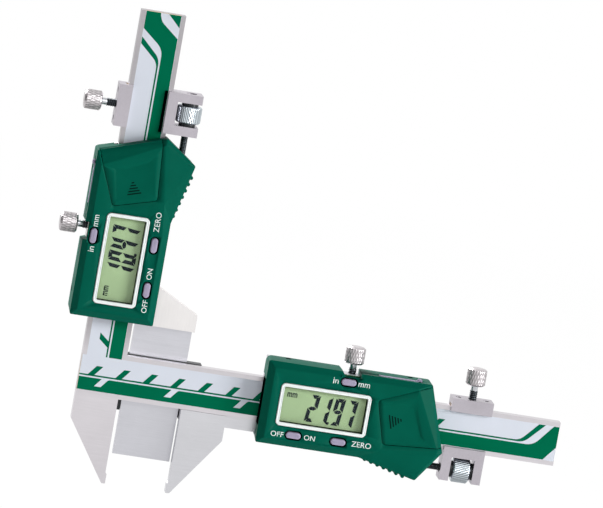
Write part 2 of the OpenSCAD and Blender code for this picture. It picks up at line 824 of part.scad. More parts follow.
module clamp_set_screws() {
    top = half_w + clamp_over - 0.4;
    color(black_steel) for (s = [-1, 1]) difference() {
        bar_v(half_w + clamp_gib_t + slide_gap, top, [clamp_u0 + clamp_mid + s * set_screw_off, 0], screw_r);
        translate([clamp_u0 + clamp_mid + s * set_screw_off, 0, top - 0.9])
            cylinder(h = 0.9 + overcut, r = 0.55, $fn = 6);
    }
}

module clamp_lock_screw() {
    thumbscrew(clamp_u0 + clamp_mid, half_w + slide_gap / 2 + clamp_gib_t + shaft_gap,
        half_w + clamp_knob_lift);
}

// Knurled nut between two smooth collars that fill the window
module feed_nut() {
    u0 = clamp_u0 + arm_left + shaft_gap;
    u1 = clamp_u0 + arm_left + window_l - shaft_gap;
    mid = (u0 + u1) / 2;
    color(nickel) difference() {
        union() {
            bar_u(u0, u1, [0, rod_v], nut_d / 2 - 1.6);
            bar_u(mid - nut_l / 2, mid + nut_l / 2, [0, rod_v], nut_d / 2 - 0.4);
            bar_u(mid - nut_l / 2 + 0.4, mid + nut_l / 2 - 0.4, [0, rod_v], nut_d / 2);
        }
        bar_u(u0 - overcut, u1 + overcut, [0, rod_v], rod_d / 2 + shaft_gap);
    }
}

// Thickness slider with the moving jaw

// Outline of the moving jaw and its shank, from the jaw's measuring face in X
module moving_jaw_outline() {
    top = beam_low_z - slide_gap;
    x0 = tooth_thickness;
    polygon([[x0, 0], [x0 + jaw_tip_w, 0], [x0 + moving_jaw_w, beam_low_z - jaw_shoulder_h],
        [x0 + moving_jaw_w, top], [x0 + jaw_relief, top], [x0 + jaw_relief, jaw_land_h + jaw_relief],
        [x0, jaw_land_h]]);
}

module thickness_jaw_slider() {
    top = beam_low_z - slide_gap;
    color(steel) union() {
        plate(beam_front, beam_back) moving_jaw_outline();
        plate(beam_front + 0.6, beam_back)
            rect(tooth_thickness + moving_jaw_w - 1, top - shank_h, thickness_u0 + rail_u0 + 1, top);
        on_thickness() slider_body();
    }
}

module thickness_gib() { on_thickness() gib(); }
module thickness_gib_screws() { on_thickness() gib_screws(); }
module thickness_housing() { on_thickness() housing(-half_w - shank_h - 0.3, 0); }
module thickness_case_screws() { on_thickness() case_screws(); }
module thickness_circuit_board() { on_thickness() circuit_board(); }
module thickness_lcd_panel() { on_thickness() lcd_panel(); }
module thickness_display_bezel() { on_thickness() display_bezel(); }
module thickness_display_window() { on_thickness() display_window(); }
module thickness_unit_button() { on_thickness() button(unit_uv); }
module thickness_power_button() { on_thickness() button(power_uv); }
module thickness_zero_button() { on_thickness() button(zero_uv); }
module thickness_battery_cover() { on_thickness() battery_cover(); }
module thickness_battery() { on_thickness() battery(); }
module thickness_battery_contacts() { on_thickness() battery_contacts(); }
module thickness_port_cover() { on_thickness() port_cover(); }
module thickness_lock_screw() { on_thickness() lock_screw(); }
module thickness_feed_rod() { on_thickness() feed_rod(); }
module thickness_clamp_block() { on_thickness() clamp_block(); }
module thickness_clamp_gib() { on_thickness() clamp_gib(); }
module thickness_clamp_set_screws() { on_thickness() clamp_set_screws(); }
module thickness_clamp_lock_screw() { on_thickness() clamp_lock_screw(); }
module thickness_feed_nut() { on_thickness() feed_nut(); }

// Height slider with the arm that holds the blade

// Outline of the arm, from the height beam's edge out over the blade
module arm_outline() {
    x0 = upright_mid_x + half_w + slide_gap;
    slope_z = arm_low_z + arm_edge_h;
    x_in = upright_mid_x - rail_low;
    polygon([[x0, arm_low_z], [arm_right_x, arm_low_z], [arm_right_x, slope_z],
        [x_in, slope_z + arm_slope * (arm_right_x - x_in)],
        [x0, slope_z + arm_slope * (arm_right_x - x_in)]]);
}

module height_arm_slider() {
    color(steel) difference() {
        union() {
            plate(blade_front - arm_t, blade_front) arm_outline();
            on_height() slider_body();
        }
        for (x = blade_screw_x)
            bar_w(blade_front - screw_bite - slide_gap, blade_front + overcut, [x, blade_screw_z], screw_r + shaft_gap);
        on_height() case_screw_holes();
    }
}

module height_gib() { on_height() gib(); }
module height_gib_screws() { on_height() gib_screws(); }
module height_housing() { on_height() housing(0, arm_slot_u); }
module height_case_screws() { on_height() case_screws(); }
module height_circuit_board() { on_height() circuit_board(); }
module height_lcd_panel() { on_height() lcd_panel(); }
module height_display_bezel() { on_height() display_bezel(); }
module height_display_window() { on_height() display_window(); }
module height_unit_button() { on_height() button(unit_uv); }
module height_power_button() { on_height() button(power_uv); }
module height_zero_button() { on_height() button(zero_uv); }
module height_battery_cover() { on_height() battery_cover(); }
module height_battery() { on_height() battery(); }
module height_battery_contacts() { on_height() battery_contacts(); }
module height_port_cover() { on_height() port_cover(); }
module height_lock_screw() { on_height() lock_screw(); }
module height_feed_rod() { on_height() feed_rod(); }
module height_clamp_block() { on_height() clamp_block(); }
module height_clamp_gib() { on_height() clamp_gib(); }
module height_clamp_set_screws() { on_height() clamp_set_screws(); }
module height_clamp_lock_screw() { on_height() clamp_lock_screw(); }
module height_feed_nut() { on_height() feed_nut(); }

main_frame();
thickness_scale_strip();
height_scale_strip();
thickness_label();
height_label();
blade_guide();
guide_screws();
height_blade();
blade_screws();
thickness_jaw_slider();
thickness_gib();
thickness_gib_screws();
thickness_housing();
thickness_case_screws();
thickness_circuit_board();
thickness_lcd_panel();
thickness_display_bezel();
thickness_display_window();
thickness_unit_button();
thickness_power_button();
thickness_zero_button();
thickness_battery_cover();
thickness_battery();
thickness_battery_contacts();
thickness_port_cover();
thickness_lock_screw();
thickness_feed_rod();
thickness_clamp_block();
thickness_clamp_gib();
thickness_clamp_set_screws();
thickness_clamp_lock_screw();
thickness_feed_nut();
height_arm_slider();
height_gib();
height_gib_screws();
height_housing();
height_case_screws();
height_circuit_board();
height_lcd_panel();
height_display_bezel();
height_display_window();
height_unit_button();
height_power_button();
height_zero_button();
height_battery_cover();
height_battery();
height_battery_contacts();
height_port_cover();
height_lock_screw();
height_feed_rod();
height_clamp_block();
height_clamp_gib();
height_clamp_set_screws();
height_clamp_lock_screw();
height_feed_nut();
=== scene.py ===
import logging
import math
from dataclasses import dataclass, field
from enum import Enum
from typing import Callable, ClassVar, Iterable, Optional, Sequence

import bmesh
import bpy
import numpy as np
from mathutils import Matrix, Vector


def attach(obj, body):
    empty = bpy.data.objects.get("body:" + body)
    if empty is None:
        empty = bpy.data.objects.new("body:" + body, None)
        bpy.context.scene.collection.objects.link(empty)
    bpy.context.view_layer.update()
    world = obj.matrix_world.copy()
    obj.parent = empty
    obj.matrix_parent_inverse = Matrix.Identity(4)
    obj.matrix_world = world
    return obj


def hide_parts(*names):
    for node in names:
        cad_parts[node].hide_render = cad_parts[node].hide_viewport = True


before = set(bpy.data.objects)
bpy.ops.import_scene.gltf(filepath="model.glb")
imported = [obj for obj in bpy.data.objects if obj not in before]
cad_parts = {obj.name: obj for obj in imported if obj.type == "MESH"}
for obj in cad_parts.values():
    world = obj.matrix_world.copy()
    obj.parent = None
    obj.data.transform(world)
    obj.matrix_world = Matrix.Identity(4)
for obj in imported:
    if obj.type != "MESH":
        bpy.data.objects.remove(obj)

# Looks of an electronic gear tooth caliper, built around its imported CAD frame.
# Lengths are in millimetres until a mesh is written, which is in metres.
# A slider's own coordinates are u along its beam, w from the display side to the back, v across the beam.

MM = 0.001
# Middle line of the level beam (its height) and of the upright one (its place along X), in mm.
LEVEL_BEAM_Z = 39.0
UPRIGHT_BEAM_X = -8.0
LOG = logging.getLogger("tooth_caliper")
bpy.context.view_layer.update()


class Beam(Enum):
    """The beam that a slider runs on."""

    THICKNESS = "thickness"
    HEIGHT = "height"

    def place(self, along: np.ndarray, w: np.ndarray, across: np.ndarray) -> np.ndarray:
        """Returns the row's coordinates of points given along the beam, by depth and across it, in mm.

        Args:
            along: distance along the beam.
            w: depth behind the beam's middle.
            across: distance across it, towards the display's upper side.

        Returns:
            The points, with x, y and z last.
        """
        if self is Beam.THICKNESS:
            return np.stack([along, w, LEVEL_BEAM_Z + across], -1)
        return np.stack([UPRIGHT_BEAM_X - across, w, along], -1)


class Grain(Enum):
    """The direction in which a metal was brushed."""

    ALONG_X = (0.03, 1.0, 1.0)
    ALONG_Z = (1.0, 1.0, 0.03)
    NONE = (1.0, 1.0, 1.0)


class Knurl(Enum):
    """The pattern rolled into a turned part."""

    DIAMOND = "diamond"
    SLANTED = "slanted"


# ---------------------------------------------------------------- shapes


@dataclass
class Shell:
    """One closed surface: points as rows of three, and faces as tuples of point numbers."""

    points: np.ndarray
    faces: list[tuple[int, ...]]
    crest: Optional[np.ndarray] = None

    def crests(self) -> np.ndarray:
        """Returns how near each point is to a crest of the relief: 1 on it, 0 in a groove."""
        return self.crest if self.crest is not None else np.ones(len(self.points))

    @staticmethod
    def join(shells: Iterable["Shell"]) -> "Shell":
        """Puts several surfaces into one.

        Args:
            shells: the surfaces.

        Returns:
            One surface that holds all their points and faces.
        """
        points, faces, start, parts = [], [], 0, list(shells)
        for shell in parts:
            points.append(shell.points)
            faces += [tuple(i + start for i in face) for face in shell.faces]
            start += len(shell.points)
        return Shell(np.concatenate(points), faces, np.concatenate([shell.crests() for shell in parts]))

    def placed(self, place: Callable[[np.ndarray], np.ndarray]) -> "Shell":
        """Returns the surface with its points sent through place."""
        return Shell(place(self.points), self.faces, self.crest)


def loft(rings: np.ndarray, closed: bool = False) -> Shell:
    """Skins a stack of rings: each pair of neighbours is joined by four-sided faces.

    Args:
        rings: array of shape (rings, points, 3); each ring runs anticlockwise about the stack's direction.
        closed: True joins the last ring to the first, as in a picture frame; False caps both ends.

    Returns:
        The closed surface, with its faces outwards.
    """
    count, size = rings.shape[:2]
    row = np.arange(count if closed else count - 1)[:, None] * size
    following = (row + size) % (count * size)
    here = np.arange(size)[None, :]
    there = (here + 1) % size
    quads = np.stack([row + here, row + there, following + there, following + here], -1).reshape(-1, 4)
    faces = [tuple(int(i) for i in quad) for quad in quads]
    if not closed:
        faces.append(tuple(range(size - 1, -1, -1)))
        faces.append(tuple(range((count - 1) * size, count * size)))
    return Shell(rings.reshape(-1, 3), faces)


def rounded(corners: Sequence[Sequence[float]], radii: float | Sequence[float], steps: int = 5) -> np.ndarray:
    """Rounds a polygon's corners with true arcs.

    Each arc is the rational curve between the two points where the circle touches the sides, weighted by the
    sine of half the corner's angle.

    Args:
        corners: the corners, anticlockwise.
        radii: one radius, or one for each corner.
        steps: parts of each arc.

    Returns:
        The outline's points, shape (corners * (steps + 1), 2).
    """
    p = np.asarray(corners, float)
    r = np.broadcast_to(np.asarray(radii, float), len(p))[:, None]
    a, b = np.roll(p, 1, 0) - p, np.roll(p, -1, 0) - p
    a /= np.linalg.norm(a, axis=1, keepdims=True)
    b /= np.linalg.norm(b, axis=1, keepdims=True)
    half = 0.5 * np.arccos(np.clip((a * b).sum(1, keepdims=True), -0.9999, 0.9999))
    reach = r / np.tan(half)
    first, last, weight = p + a * reach, p + b * reach, np.sin(half)[:, None]
    s = np.linspace(0, 1, steps + 1)[None, :, None]
    top = (1 - s) ** 2 * first[:, None] + 2 * s * (1 - s) * weight * p[:, None] + s**2 * last[:, None]
    return (top / ((1 - s) ** 2 + 2 * s * (1 - s) * weight + s**2)).reshape(-1, 2)


def rectangle(length: float, height: float, middle: Sequence[float], radius: float, steps: int = 6) -> np.ndarray:
    """Returns the outline of a rectangle with round corners about its middle."""
    x, y = length / 2, height / 2
    return rounded([(-x, -y), (x, -y), (x, y), (-x, y)], radius, steps) + np.asarray(middle, float)


def inset(outline: np.ndarray, depth: float) -> np.ndarray:
    """Moves each side of an anticlockwise outline inwards by depth, and the corners with them.

    Args:
        outline: the points, anticlockwise.
        depth: how far inwards; less than 0 moves them outwards.

    Returns:
        The moved outline, with as many points.
    """
    side = np.roll(outline, -1, 0) - outline
    side /= np.maximum(np.linalg.norm(side, axis=1, keepdims=True), 1e-9)
    normal = np.stack([-side[:, 1], side[:, 0]], -1)
    before = np.roll(normal, 1, 0)
    return outline + depth * (before + normal) / (1 + (before * normal).sum(1, keepdims=True))


def shrunk(corners: Sequence[Sequence[float]], radii: float | Sequence[float], depth: float) -> np.ndarray:
    """Returns the rounded outline that lies depth inside the one with these corners and radii."""
    r = np.broadcast_to(np.asarray(radii, float), len(corners))
    return rounded(inset(np.asarray(corners, float), depth), np.maximum(r - depth, 0.15))


def ring(outline: np.ndarray, w: float | np.ndarray) -> np.ndarray:
    """Returns a flat outline as points (u, w, v)."""
    return np.stack([outline[:, 0], np.broadcast_to(w, len(outline)), outline[:, 1]], -1)


def puck(outline: np.ndarray, front: float, back: float, soft: float = 0.0, steps: int = 3) -> Shell:
    """A plate with this outline and a quarter-round front edge.

    The rings follow a quarter circle: at angle a the outline is drawn in by soft * (1 - cos a) and lies
    soft * (1 - sin a) behind the front.

    Args:
        outline: the plate's outline as (u, v).
        front: depth of its front face.
        back: depth of its back face.
        soft: radius of the front edge; 0 leaves it sharp.
        steps: parts of the quarter circle.

    Returns:
        The closed plate.
    """
    if soft <= 0:
        return loft(np.stack([ring(outline, back), ring(outline, front)]))
    angle = np.linspace(0, math.pi / 2, steps + 1)
    rings = [ring(outline, back)]
    rings += [ring(inset(outline, soft * (1 - math.cos(a))), front + soft * (1 - math.sin(a))) for a in angle]
    return loft(np.stack(rings))


def border(outline: np.ndarray, profile: Sequence[tuple[float, float]]) -> Shell:
    """A frame round an opening: the outline drawn in by each profile point's first number, at its second as w."""
    return loft(np.stack([ring(inset(outline, d), w) for d, w in profile]), closed=True)


@dataclass(frozen=True)
class Axis:
    """A turning axis: where it starts and which way it points, in (u, w, v)."""

    start: tuple[float, float, float]
    direction: tuple[float, float, float]

    def spread(self, along: np.ndarray, radius: np.ndarray, angle: np.ndarray) -> np.ndarray:
        """Returns the points that lie along and radius from the axis at angle, as one array.

        Args:
            along: distances along the axis.
            radius: distances from it.
            angle: angles round it.

        Returns:
            The points, with three numbers last.
        """
        d = np.asarray(self.direction, float)
        d /= np.linalg.norm(d)
        a = np.cross(d, (0.0, 1.0, 0.0) if abs(d[1]) < 0.9 else (1.0, 0.0, 0.0))
        a /= np.linalg.norm(a)
        b = np.cross(d, a)
        offset = np.cos(angle)[..., None] * a + np.sin(angle)[..., None] * b
        return np.asarray(self.start) + along[..., None] * d + radius[..., None] * offset


def turned(axis: Axis, profile: Sequence[tuple[float, float]], count: int = 48) -> Shell:
    """A turned piece: the profile's (along, radius) points carried round the axis in count steps.

    Args:
        axis: the axis.
        profile: the points from one end to the other.
        count: points in each ring.

    Returns:
        The closed turned surface.
    """
    angle = np.arange(count) / count * 2 * math.pi
    along = np.array([p[0] for p in profile])[:, None] + 0 * angle
    radius = np.array([p[1] for p in profile])[:, None] + 0 * angle
    return loft(axis.spread(along, radius, np.broadcast_to(angle, along.shape)))


def wave(phase: np.ndarray) -> np.ndarray:
    """A triangle wave of the phase: 0 in the groove and 1 on the crest, once a turn."""
    return 1 - 2 * np.abs(phase - np.floor(phase) - 0.5)


# Points to a tooth of a knurl, and mm between the rows of points along it.
KNURL_STEPS = 6
KNURL_ROW = 0.16
# How far a groove runs round the drum for each mm along it. A gain over 1 gives the diamonds flat tops.
DIAMOND_LEAN = 0.3
SLANTED_LEAN = 0.5
DIAMOND_GAIN = 1.8
# Points round a thread, and rows of points to a pitch.
THREAD_STEPS = 20
THREAD_ROWS = 5


def knurled(axis: Axis, start: float, end: float, radius: float, edge: float, pattern: Knurl,
            teeth: int, depth: float, inner: Optional[float] = None) -> Shell:
    """A knurled drum.

    The radius is the drum's own, less depth where a groove runs. A groove's height is a triangle wave of
    teeth * angle / turn plus or minus the distance along, and a diamond keeps the lower of the two waves.
    The bevel at each end runs from the grooves down to a plain edge.

    Args:
        axis: the drum's axis.
        start: where it begins along the axis.
        end: where it ends.
        radius: its radius over the crests.
        edge: the bevel at both ends.
        pattern: which way the grooves run.
        teeth: grooves round the drum.
        depth: depth of a groove.
        inner: radius of the flat end, where the end isn't closed to the middle.

    Returns:
        The closed surface.
    """
    count, rows = teeth * KNURL_STEPS, max(8, int((end - start - 2 * edge) / KNURL_ROW))
    along = np.linspace(start + edge, end - edge, rows)
    angle = np.arange(count) / count * 2 * math.pi
    grid_along, grid_angle = np.meshgrid(along, angle, indexing="ij")
    turn = grid_angle / (2 * math.pi) * teeth
    lean = (grid_along - start) * teeth / (2 * math.pi * radius)
    if pattern is Knurl.DIAMOND:
        height = np.minimum(wave(turn + lean * DIAMOND_LEAN), wave(turn - lean * DIAMOND_LEAN)) * DIAMOND_GAIN
    else:
        height = wave(turn + lean * SLANTED_LEAN)
    body = radius - depth * (1 - np.clip(height, 0, 1))
    ends = inner if inner is not None else radius * 0.25
    flat = np.full(count, radius - edge - depth * 0.4)
    first, last, middle = np.full(count, start), np.full(count, end), np.full(count, ends)
    alongs = np.vstack([first, first, grid_along, last, last])
    radii = np.vstack([middle, flat, body, flat, middle])
    made = loft(axis.spread(alongs, radii, np.broadcast_to(angle, alongs.shape)))
    made.crest = np.vstack([np.ones((2, count)), np.clip(height, 0, 1), np.ones((2, count))]).ravel()
    return made


def threaded(axis: Axis, start: float, end: float, radius: float, pitch: float, depth: float) -> Shell:
    """A threaded rod: the radius less depth times a triangle wave of distance / pitch minus the angle's turn.

    Args:
        axis: the rod's axis.
        start: where it begins along the axis.
        end: where it ends.
        radius: its radius over the crests.
        pitch: distance between two crests.
        depth: depth of the thread.

    Returns:
        The closed rod, with its crest values.
    """
    count, rows = THREAD_STEPS, int((end - start) / pitch * THREAD_ROWS)
    along = np.linspace(start, end, rows)
    angle = np.arange(count) / count * 2 * math.pi
    grid_along, grid_angle = np.meshgrid(along, angle, indexing="ij")
    crest = wave(grid_along / pitch - grid_angle / (2 * math.pi))
    made = loft(axis.spread(grid_along, radius - depth * (1 - crest), grid_angle))
    made.crest = crest.ravel()
    return made


# ---------------------------------------------------------------- finishes


def colour(red: int, green: int, blue: int) -> tuple[float, float, float, float]:
    """Returns a screen colour from 0 to 255 as linear values with full cover."""
    part = [c / 255 for c in (red, green, blue)]
    return tuple(c / 12.92 if c <= 0.04045 else ((c + 0.055) / 1.055) ** 2.4 for c in part) + (1.0,)


class NodeTree:
    """A node tree with short calls to add nodes and join them."""

    def __init__(self, tree: bpy.types.NodeTree) -> None:
        """Keeps the tree."""
        self.tree = tree

    def first(self, kind: str) -> bpy.types.Node:
        """Returns the tree's first node of a type."""
        return next(node for node in self.tree.nodes if node.type == kind)

    def add(self, kind: str, settings: Optional[dict] = None, **sockets: object) -> bpy.types.Node:
        """Adds a node.

        Args:
            kind: Blender's name for the node's type.
            settings: the node's own properties.
            sockets: input values, or a socket of another node to join; i0 is the first input by its place.

        Returns:
            The node.
        """
        node = self.tree.nodes.new(kind)
        for key, value in (settings or {}).items():
            setattr(node, key, value)
        for key, value in sockets.items():
            by_place = key[0] == "i" and key[1:].isdigit()
            socket = node.inputs[int(key[1:]) if by_place else key.replace("_", " ")]
            if isinstance(value, bpy.types.NodeSocket):
                self.tree.links.new(value, socket)
            else:
                socket.default_value = value
        return node

    def math(self, operation: str, *values: float | bpy.types.NodeSocket) -> bpy.types.NodeSocket:
        """Returns the result of a Math node on sockets or plain numbers."""
        inputs = {f"i{index}": value for index, value in enumerate(values)}
        return self.add("ShaderNodeMath", {"operation": operation}, **inputs).outputs[0]

    def ramp(self, value: bpy.types.NodeSocket, low: float, high: float, first: float,
             last: float) -> bpy.types.NodeSocket:
        """Returns the value, from low to high, as one from first to last."""
        return self.add("ShaderNodeMapRange", i0=value, i1=low, i2=high, i3=first, i4=last).outputs[0]


class NodeSheet(NodeTree):
    """A material's node tree, built around its principled shader."""

    def __init__(self, name: str) -> None:
        """Makes an empty material with its principled shader.

        Args:
            name: the material's name.
        """
        self.material = bpy.data.materials.new(name)
        self.material.use_nodes = True
        super().__init__(self.material.node_tree)
        self.shader = self.first("BSDF_PRINCIPLED")

    def set(self, **sockets: object) -> None:
        """Sets the shader's own sockets; underscores stand for spaces."""
        for key, value in sockets.items():
            self.shader.inputs[key.replace("_", " ")].default_value = value

    def join(self, out: bpy.types.NodeSocket, key: str) -> None:
        """Joins a socket to one of the shader's inputs."""
        self.tree.links.new(out, self.shader.inputs[key])

    def place(self, scale: Sequence[float] = (1, 1, 1)) -> bpy.types.NodeSocket:
        """Returns Object coordinates scaled by three numbers."""
        where = self.add("ShaderNodeTexCoord")
        return self.add("ShaderNodeMapping", Vector=where.outputs["Object"], Scale=tuple(scale)).outputs["Vector"]

    def noise(self, scale: Sequence[float], detail: float = 3.0) -> bpy.types.NodeSocket:
        """Returns a noise value whose scale differs along the three axes."""
        return self.add("ShaderNodeTexNoise", Vector=self.place(scale), Scale=1.0, Detail=detail).outputs[0]

    def spread(self, value: bpy.types.NodeSocket, low: float, high: float) -> bpy.types.NodeSocket:
        """Returns the noise value, from 0.3 to 0.7, as one from low to high."""
        return self.ramp(value, 0.3, 0.7, low, high)

    def tint(self, value: bpy.types.NodeSocket, dark: Sequence[float],
             light: Sequence[float]) -> bpy.types.NodeSocket:
        """Returns a colour between dark and light by the noise value.

        Args:
            value: the noise value.
            dark: colour at 0.35 and under.
            light: colour at 0.65 and over.

        Returns:
            The colour's socket.
        """
        ramp = self.add("ShaderNodeValToRGB", Fac=value)
        ramp.color_ramp.elements[0].position, ramp.color_ramp.elements[1].position = 0.35, 0.65
        ramp.color_ramp.elements[0].color, ramp.color_ramp.elements[1].color = dark, light
        return ramp.outputs[0]

    def mottled(self, value: bpy.types.NodeSocket, base: Sequence[float], contrast: float) -> bpy.types.NodeSocket:
        """Returns the base colour made darker and lighter by a contrast, by the noise value."""
        return self.tint(value, shade(base, 1 - contrast), shade(base, 1 + contrast))

    def blend(self, first: bpy.types.NodeSocket, second: bpy.types.NodeSocket, share: float) -> bpy.types.NodeSocket:
        """Returns the first value with a share of the second mixed in."""
        return self.math("MULTIPLY_ADD", first, 1 - share, self.math("MULTIPLY", second, share))

    def scaled(self, tone: bpy.types.NodeSocket, factor: bpy.types.NodeSocket) -> bpy.types.NodeSocket:
        """Returns a colour times a value."""
        return self.add("ShaderNodeVectorMath", {"operation": "SCALE"}, Vector=tone, Scale=factor).outputs[0]

    def bump(self, height: bpy.types.NodeSocket, distance: float) -> None:
        """Gives the shader a half-strength bump of the height, distance in metres."""
        made = self.add("ShaderNodeBump", Strength=0.5, Distance=distance, Height=height)
        self.join(made.outputs[0], "Normal")


def shade(base: Sequence[float], factor: float) -> tuple[float, float, float, float]:
    """Returns a colour made darker or lighter by a factor."""
    return tuple(min(1.0, c * factor) for c in base[:3]) + (1.0,)


@dataclass(frozen=True)
class Metal:
    """A metal finish: ground, brushed, plated or blackened."""

    name: str
    base: tuple[float, float, float, float]
    roughness: float
    grain: Grain = Grain.NONE
    contrast: float = 0.03
    metallic: float = 1.0
    # Share of the colour left in a groove; under 1 the grooves get painted shade.
    groove_shade: float = 1.0
    margin: tuple[float, float] = (1.0, 1.0)
    margin_heights: tuple[tuple[float, float], ...] = ((0.030, 0.034), (0.047, 0.056))
    fine_scale: float = 11000.0
    coarse_scale: float = 2600.0
    cloud_scale: float = 70.0
    depth: float = 0.000003

    def build(self) -> bpy.types.Material:
        """Grinding marks are two noises stretched along the grain, with broad cloudiness over them.

        They go into the colour, the roughness and a faint bump. A groove shade share under 1 paints shade into the
        grooves of a knurl or a thread, read from the mesh's crest values. Margin shares under 1 darken the lying
        beam and the standing one against the jaw below them.

        Returns:
            The material.
        """
        sheet = NodeSheet(self.name)
        sheet.set(Metallic=self.metallic)
        fine = sheet.noise([self.fine_scale * share for share in self.grain.value], 2.0)
        coarse = sheet.noise([self.coarse_scale * share for share in self.grain.value])
        cloud = sheet.noise((self.cloud_scale,) * 3)
        marks = sheet.blend(fine, coarse, 0.45)
        mixed = sheet.blend(marks, cloud, 0.35)
        tone = sheet.mottled(mixed, self.base, self.contrast)
        # Painted shade: the grooves of knurls and threads are darkened by the mesh's crest values.
        if self.groove_shade < 1:
            crest = sheet.add("ShaderNodeAttribute", {"attribute_name": "crest"}).outputs["Fac"]
            tone = sheet.scaled(tone, sheet.ramp(crest, 0.15, 0.75, self.groove_shade, 1.0))
        if min(self.margin) < 1:
            height = sheet.add("ShaderNodeSeparateXYZ", i0=sheet.place()).outputs[2]
            for (low, high), share in zip(self.margin_heights, self.margin):
                tone = sheet.scaled(tone, sheet.ramp(height, low, high, 1.0, share))
        sheet.join(tone, "Base Color")
        sheet.join(sheet.spread(mixed, self.roughness - 0.05, self.roughness + 0.05), "Roughness")
        sheet.bump(marks, self.depth)
        return sheet.material


@dataclass(frozen=True)
class Plastic:
    """A moulded or printed finish."""

    name: str
    base: tuple[float, float, float, float]
    roughness: float
    specular: float = 0.35
    mottle: float = 0.04
    texture: float = 0.000004
    scale: float = 3500.0
    broad_scale: float = 120.0

    def build(self) -> bpy.types.Material:
        """Fine moulding texture as bump, and broad, faint variation in colour and gloss.

        Returns:
            The material.
        """
        sheet = NodeSheet(self.name)
        sheet.set(Specular_IOR_Level=self.specular)
        fine = sheet.noise((self.scale,) * 3, 2.0)
        broad = sheet.noise((self.broad_scale,) * 3)
        sheet.join(sheet.mottled(broad, self.base, self.mottle), "Base Color")
        sheet.join(sheet.spread(broad, self.roughness - 0.04, self.roughness + 0.04), "Roughness")
        sheet.bump(fine, self.texture)
        return sheet.material


@dataclass(frozen=True)
class ClearSheet:
    """A thin clear window."""

    name: str
    cover: float

    def build(self) -> bpy.types.Material:
        """Almost clear, with faint smears in its gloss.

        Returns:
            The material.
        """
        sheet = NodeSheet(self.name)
        sheet.set(Alpha=self.cover, Base_Color=(0.5, 0.6, 0.58, 1.0))
        sheet.join(sheet.spread(sheet.noise((160.0,) * 3), 0.03, 0.12), "Roughness")
        return sheet.material


class Palette:
    """Every finish of the caliper, built once each."""

    def __init__(self) -> None:
        """Builds the materials."""
        finishes = {
            "frame_steel": Metal("ground_frame_steel", colour(214, 210, 214), 0.34, Grain.ALONG_X, 0.05,
                                 margin=(0.92, 0.68)),
            "blade_steel": Metal("ground_blade_steel", colour(204, 204, 210), 0.34, Grain.ALONG_X, 0.06),
            "jaw_steel": Metal("ground_jaw_steel", colour(209, 209, 213), 0.34, Grain.ALONG_X, 0.05),
            "arm_steel": Metal("bright_arm_steel", colour(230, 227, 226), 0.40, Grain.ALONG_Z, 0.04),
            "clamp_steel": Metal("satin_clamp_steel", colour(181, 176, 183), 0.38, Grain.NONE, 0.1),
            "screw_steel": Metal("screw_steel", colour(120, 120, 124), 0.32, Grain.NONE, 0.05),
            # The knurled and threaded finishes below darken their grooves as painted shade.
            "knurl_nickel": Metal("knurled_nickel", colour(204, 199, 201), 0.33, Grain.NONE, 0.03, groove_shade=0.5),
            "knurl_zinc": Metal("knurled_zinc", colour(205, 214, 220), 0.24, Grain.NONE, 0.04, groove_shade=0.4),
            "nickel": Metal("plain_nickel", colour(190, 192, 196), 0.2, Grain.NONE, 0.03),
            "thread_black": Metal("blackened_thread", colour(70, 76, 80), 0.22, Grain.NONE, 0.10, 1.0, groove_shade=0.08),
            "black_steel": Metal("blackened_steel", colour(14, 20, 24), 0.4, Grain.NONE, 0.15, 0.2),
            "bronze": Metal("gib_bronze", colour(120, 96, 70), 0.38, Grain.NONE, 0.06),
            "brass": Metal("contact_brass", colour(222, 190, 110), 0.28, Grain.NONE, 0.06),
            "case_green": Plastic("case_green", colour(0, 87, 70), 0.42, 0.03, 0.03),
            # Painted shade: near-black for the inner faces of the case's openings and for dark plates set where shade
            # falls.
            "recess": Plastic("near_black_painted_shade", colour(2, 4, 4), 0.6, 0.0, 0.1),
            "bar_dark": Plastic("dark_bars", colour(0, 24, 20), 0.5, 0.03, 0.1),
            "label_white": Plastic("label_white", colour(213, 218, 228), 0.5, 0.02, 0.008, 0.0000005),
            "label_green": Plastic("label_green", colour(0, 103, 72), 0.5, 0.01, 0.012, 0.0000005),
            "silver_white": Plastic("display_border", colour(237, 243, 242), 0.25, 0.2, 0.015, 0.000001),
            "display_shadow": Plastic("display_shadow", colour(44, 52, 42), 0.6, 0.0, 0.1, 0.0),
            "lcd": Plastic("display_glass", colour(169, 195, 149), 0.5, 0.03, 0.03, 0.0),
            "digit": Plastic("display_digits", colour(10, 20, 30), 0.5, 0.02, 0.05, 0.0),
            "lavender": Plastic("button_lavender", colour(165, 157, 181), 0.38, 0.2, 0.04, 0.000002),
            "port_grey": Plastic("port_lavender", colour(158, 148, 172), 0.45, 0.1, 0.05, 0.000002),
            "letter": Plastic("white_lettering", colour(236, 243, 241), 0.5, 0.02, 0.01, 0.0),
            "board": Plastic("board_lacquer", colour(18, 92, 48), 0.35, 0.3, 0.12),
            "clear": ClearSheet("display_window", 0.02),
        }
        self.made = {name: finish.build() for name, finish in finishes.items()}

    def __getitem__(self, name: str) -> bpy.types.Material:
        """Returns a material by its short name."""
        return self.made[name]


# ---------------------------------------------------------------- pieces


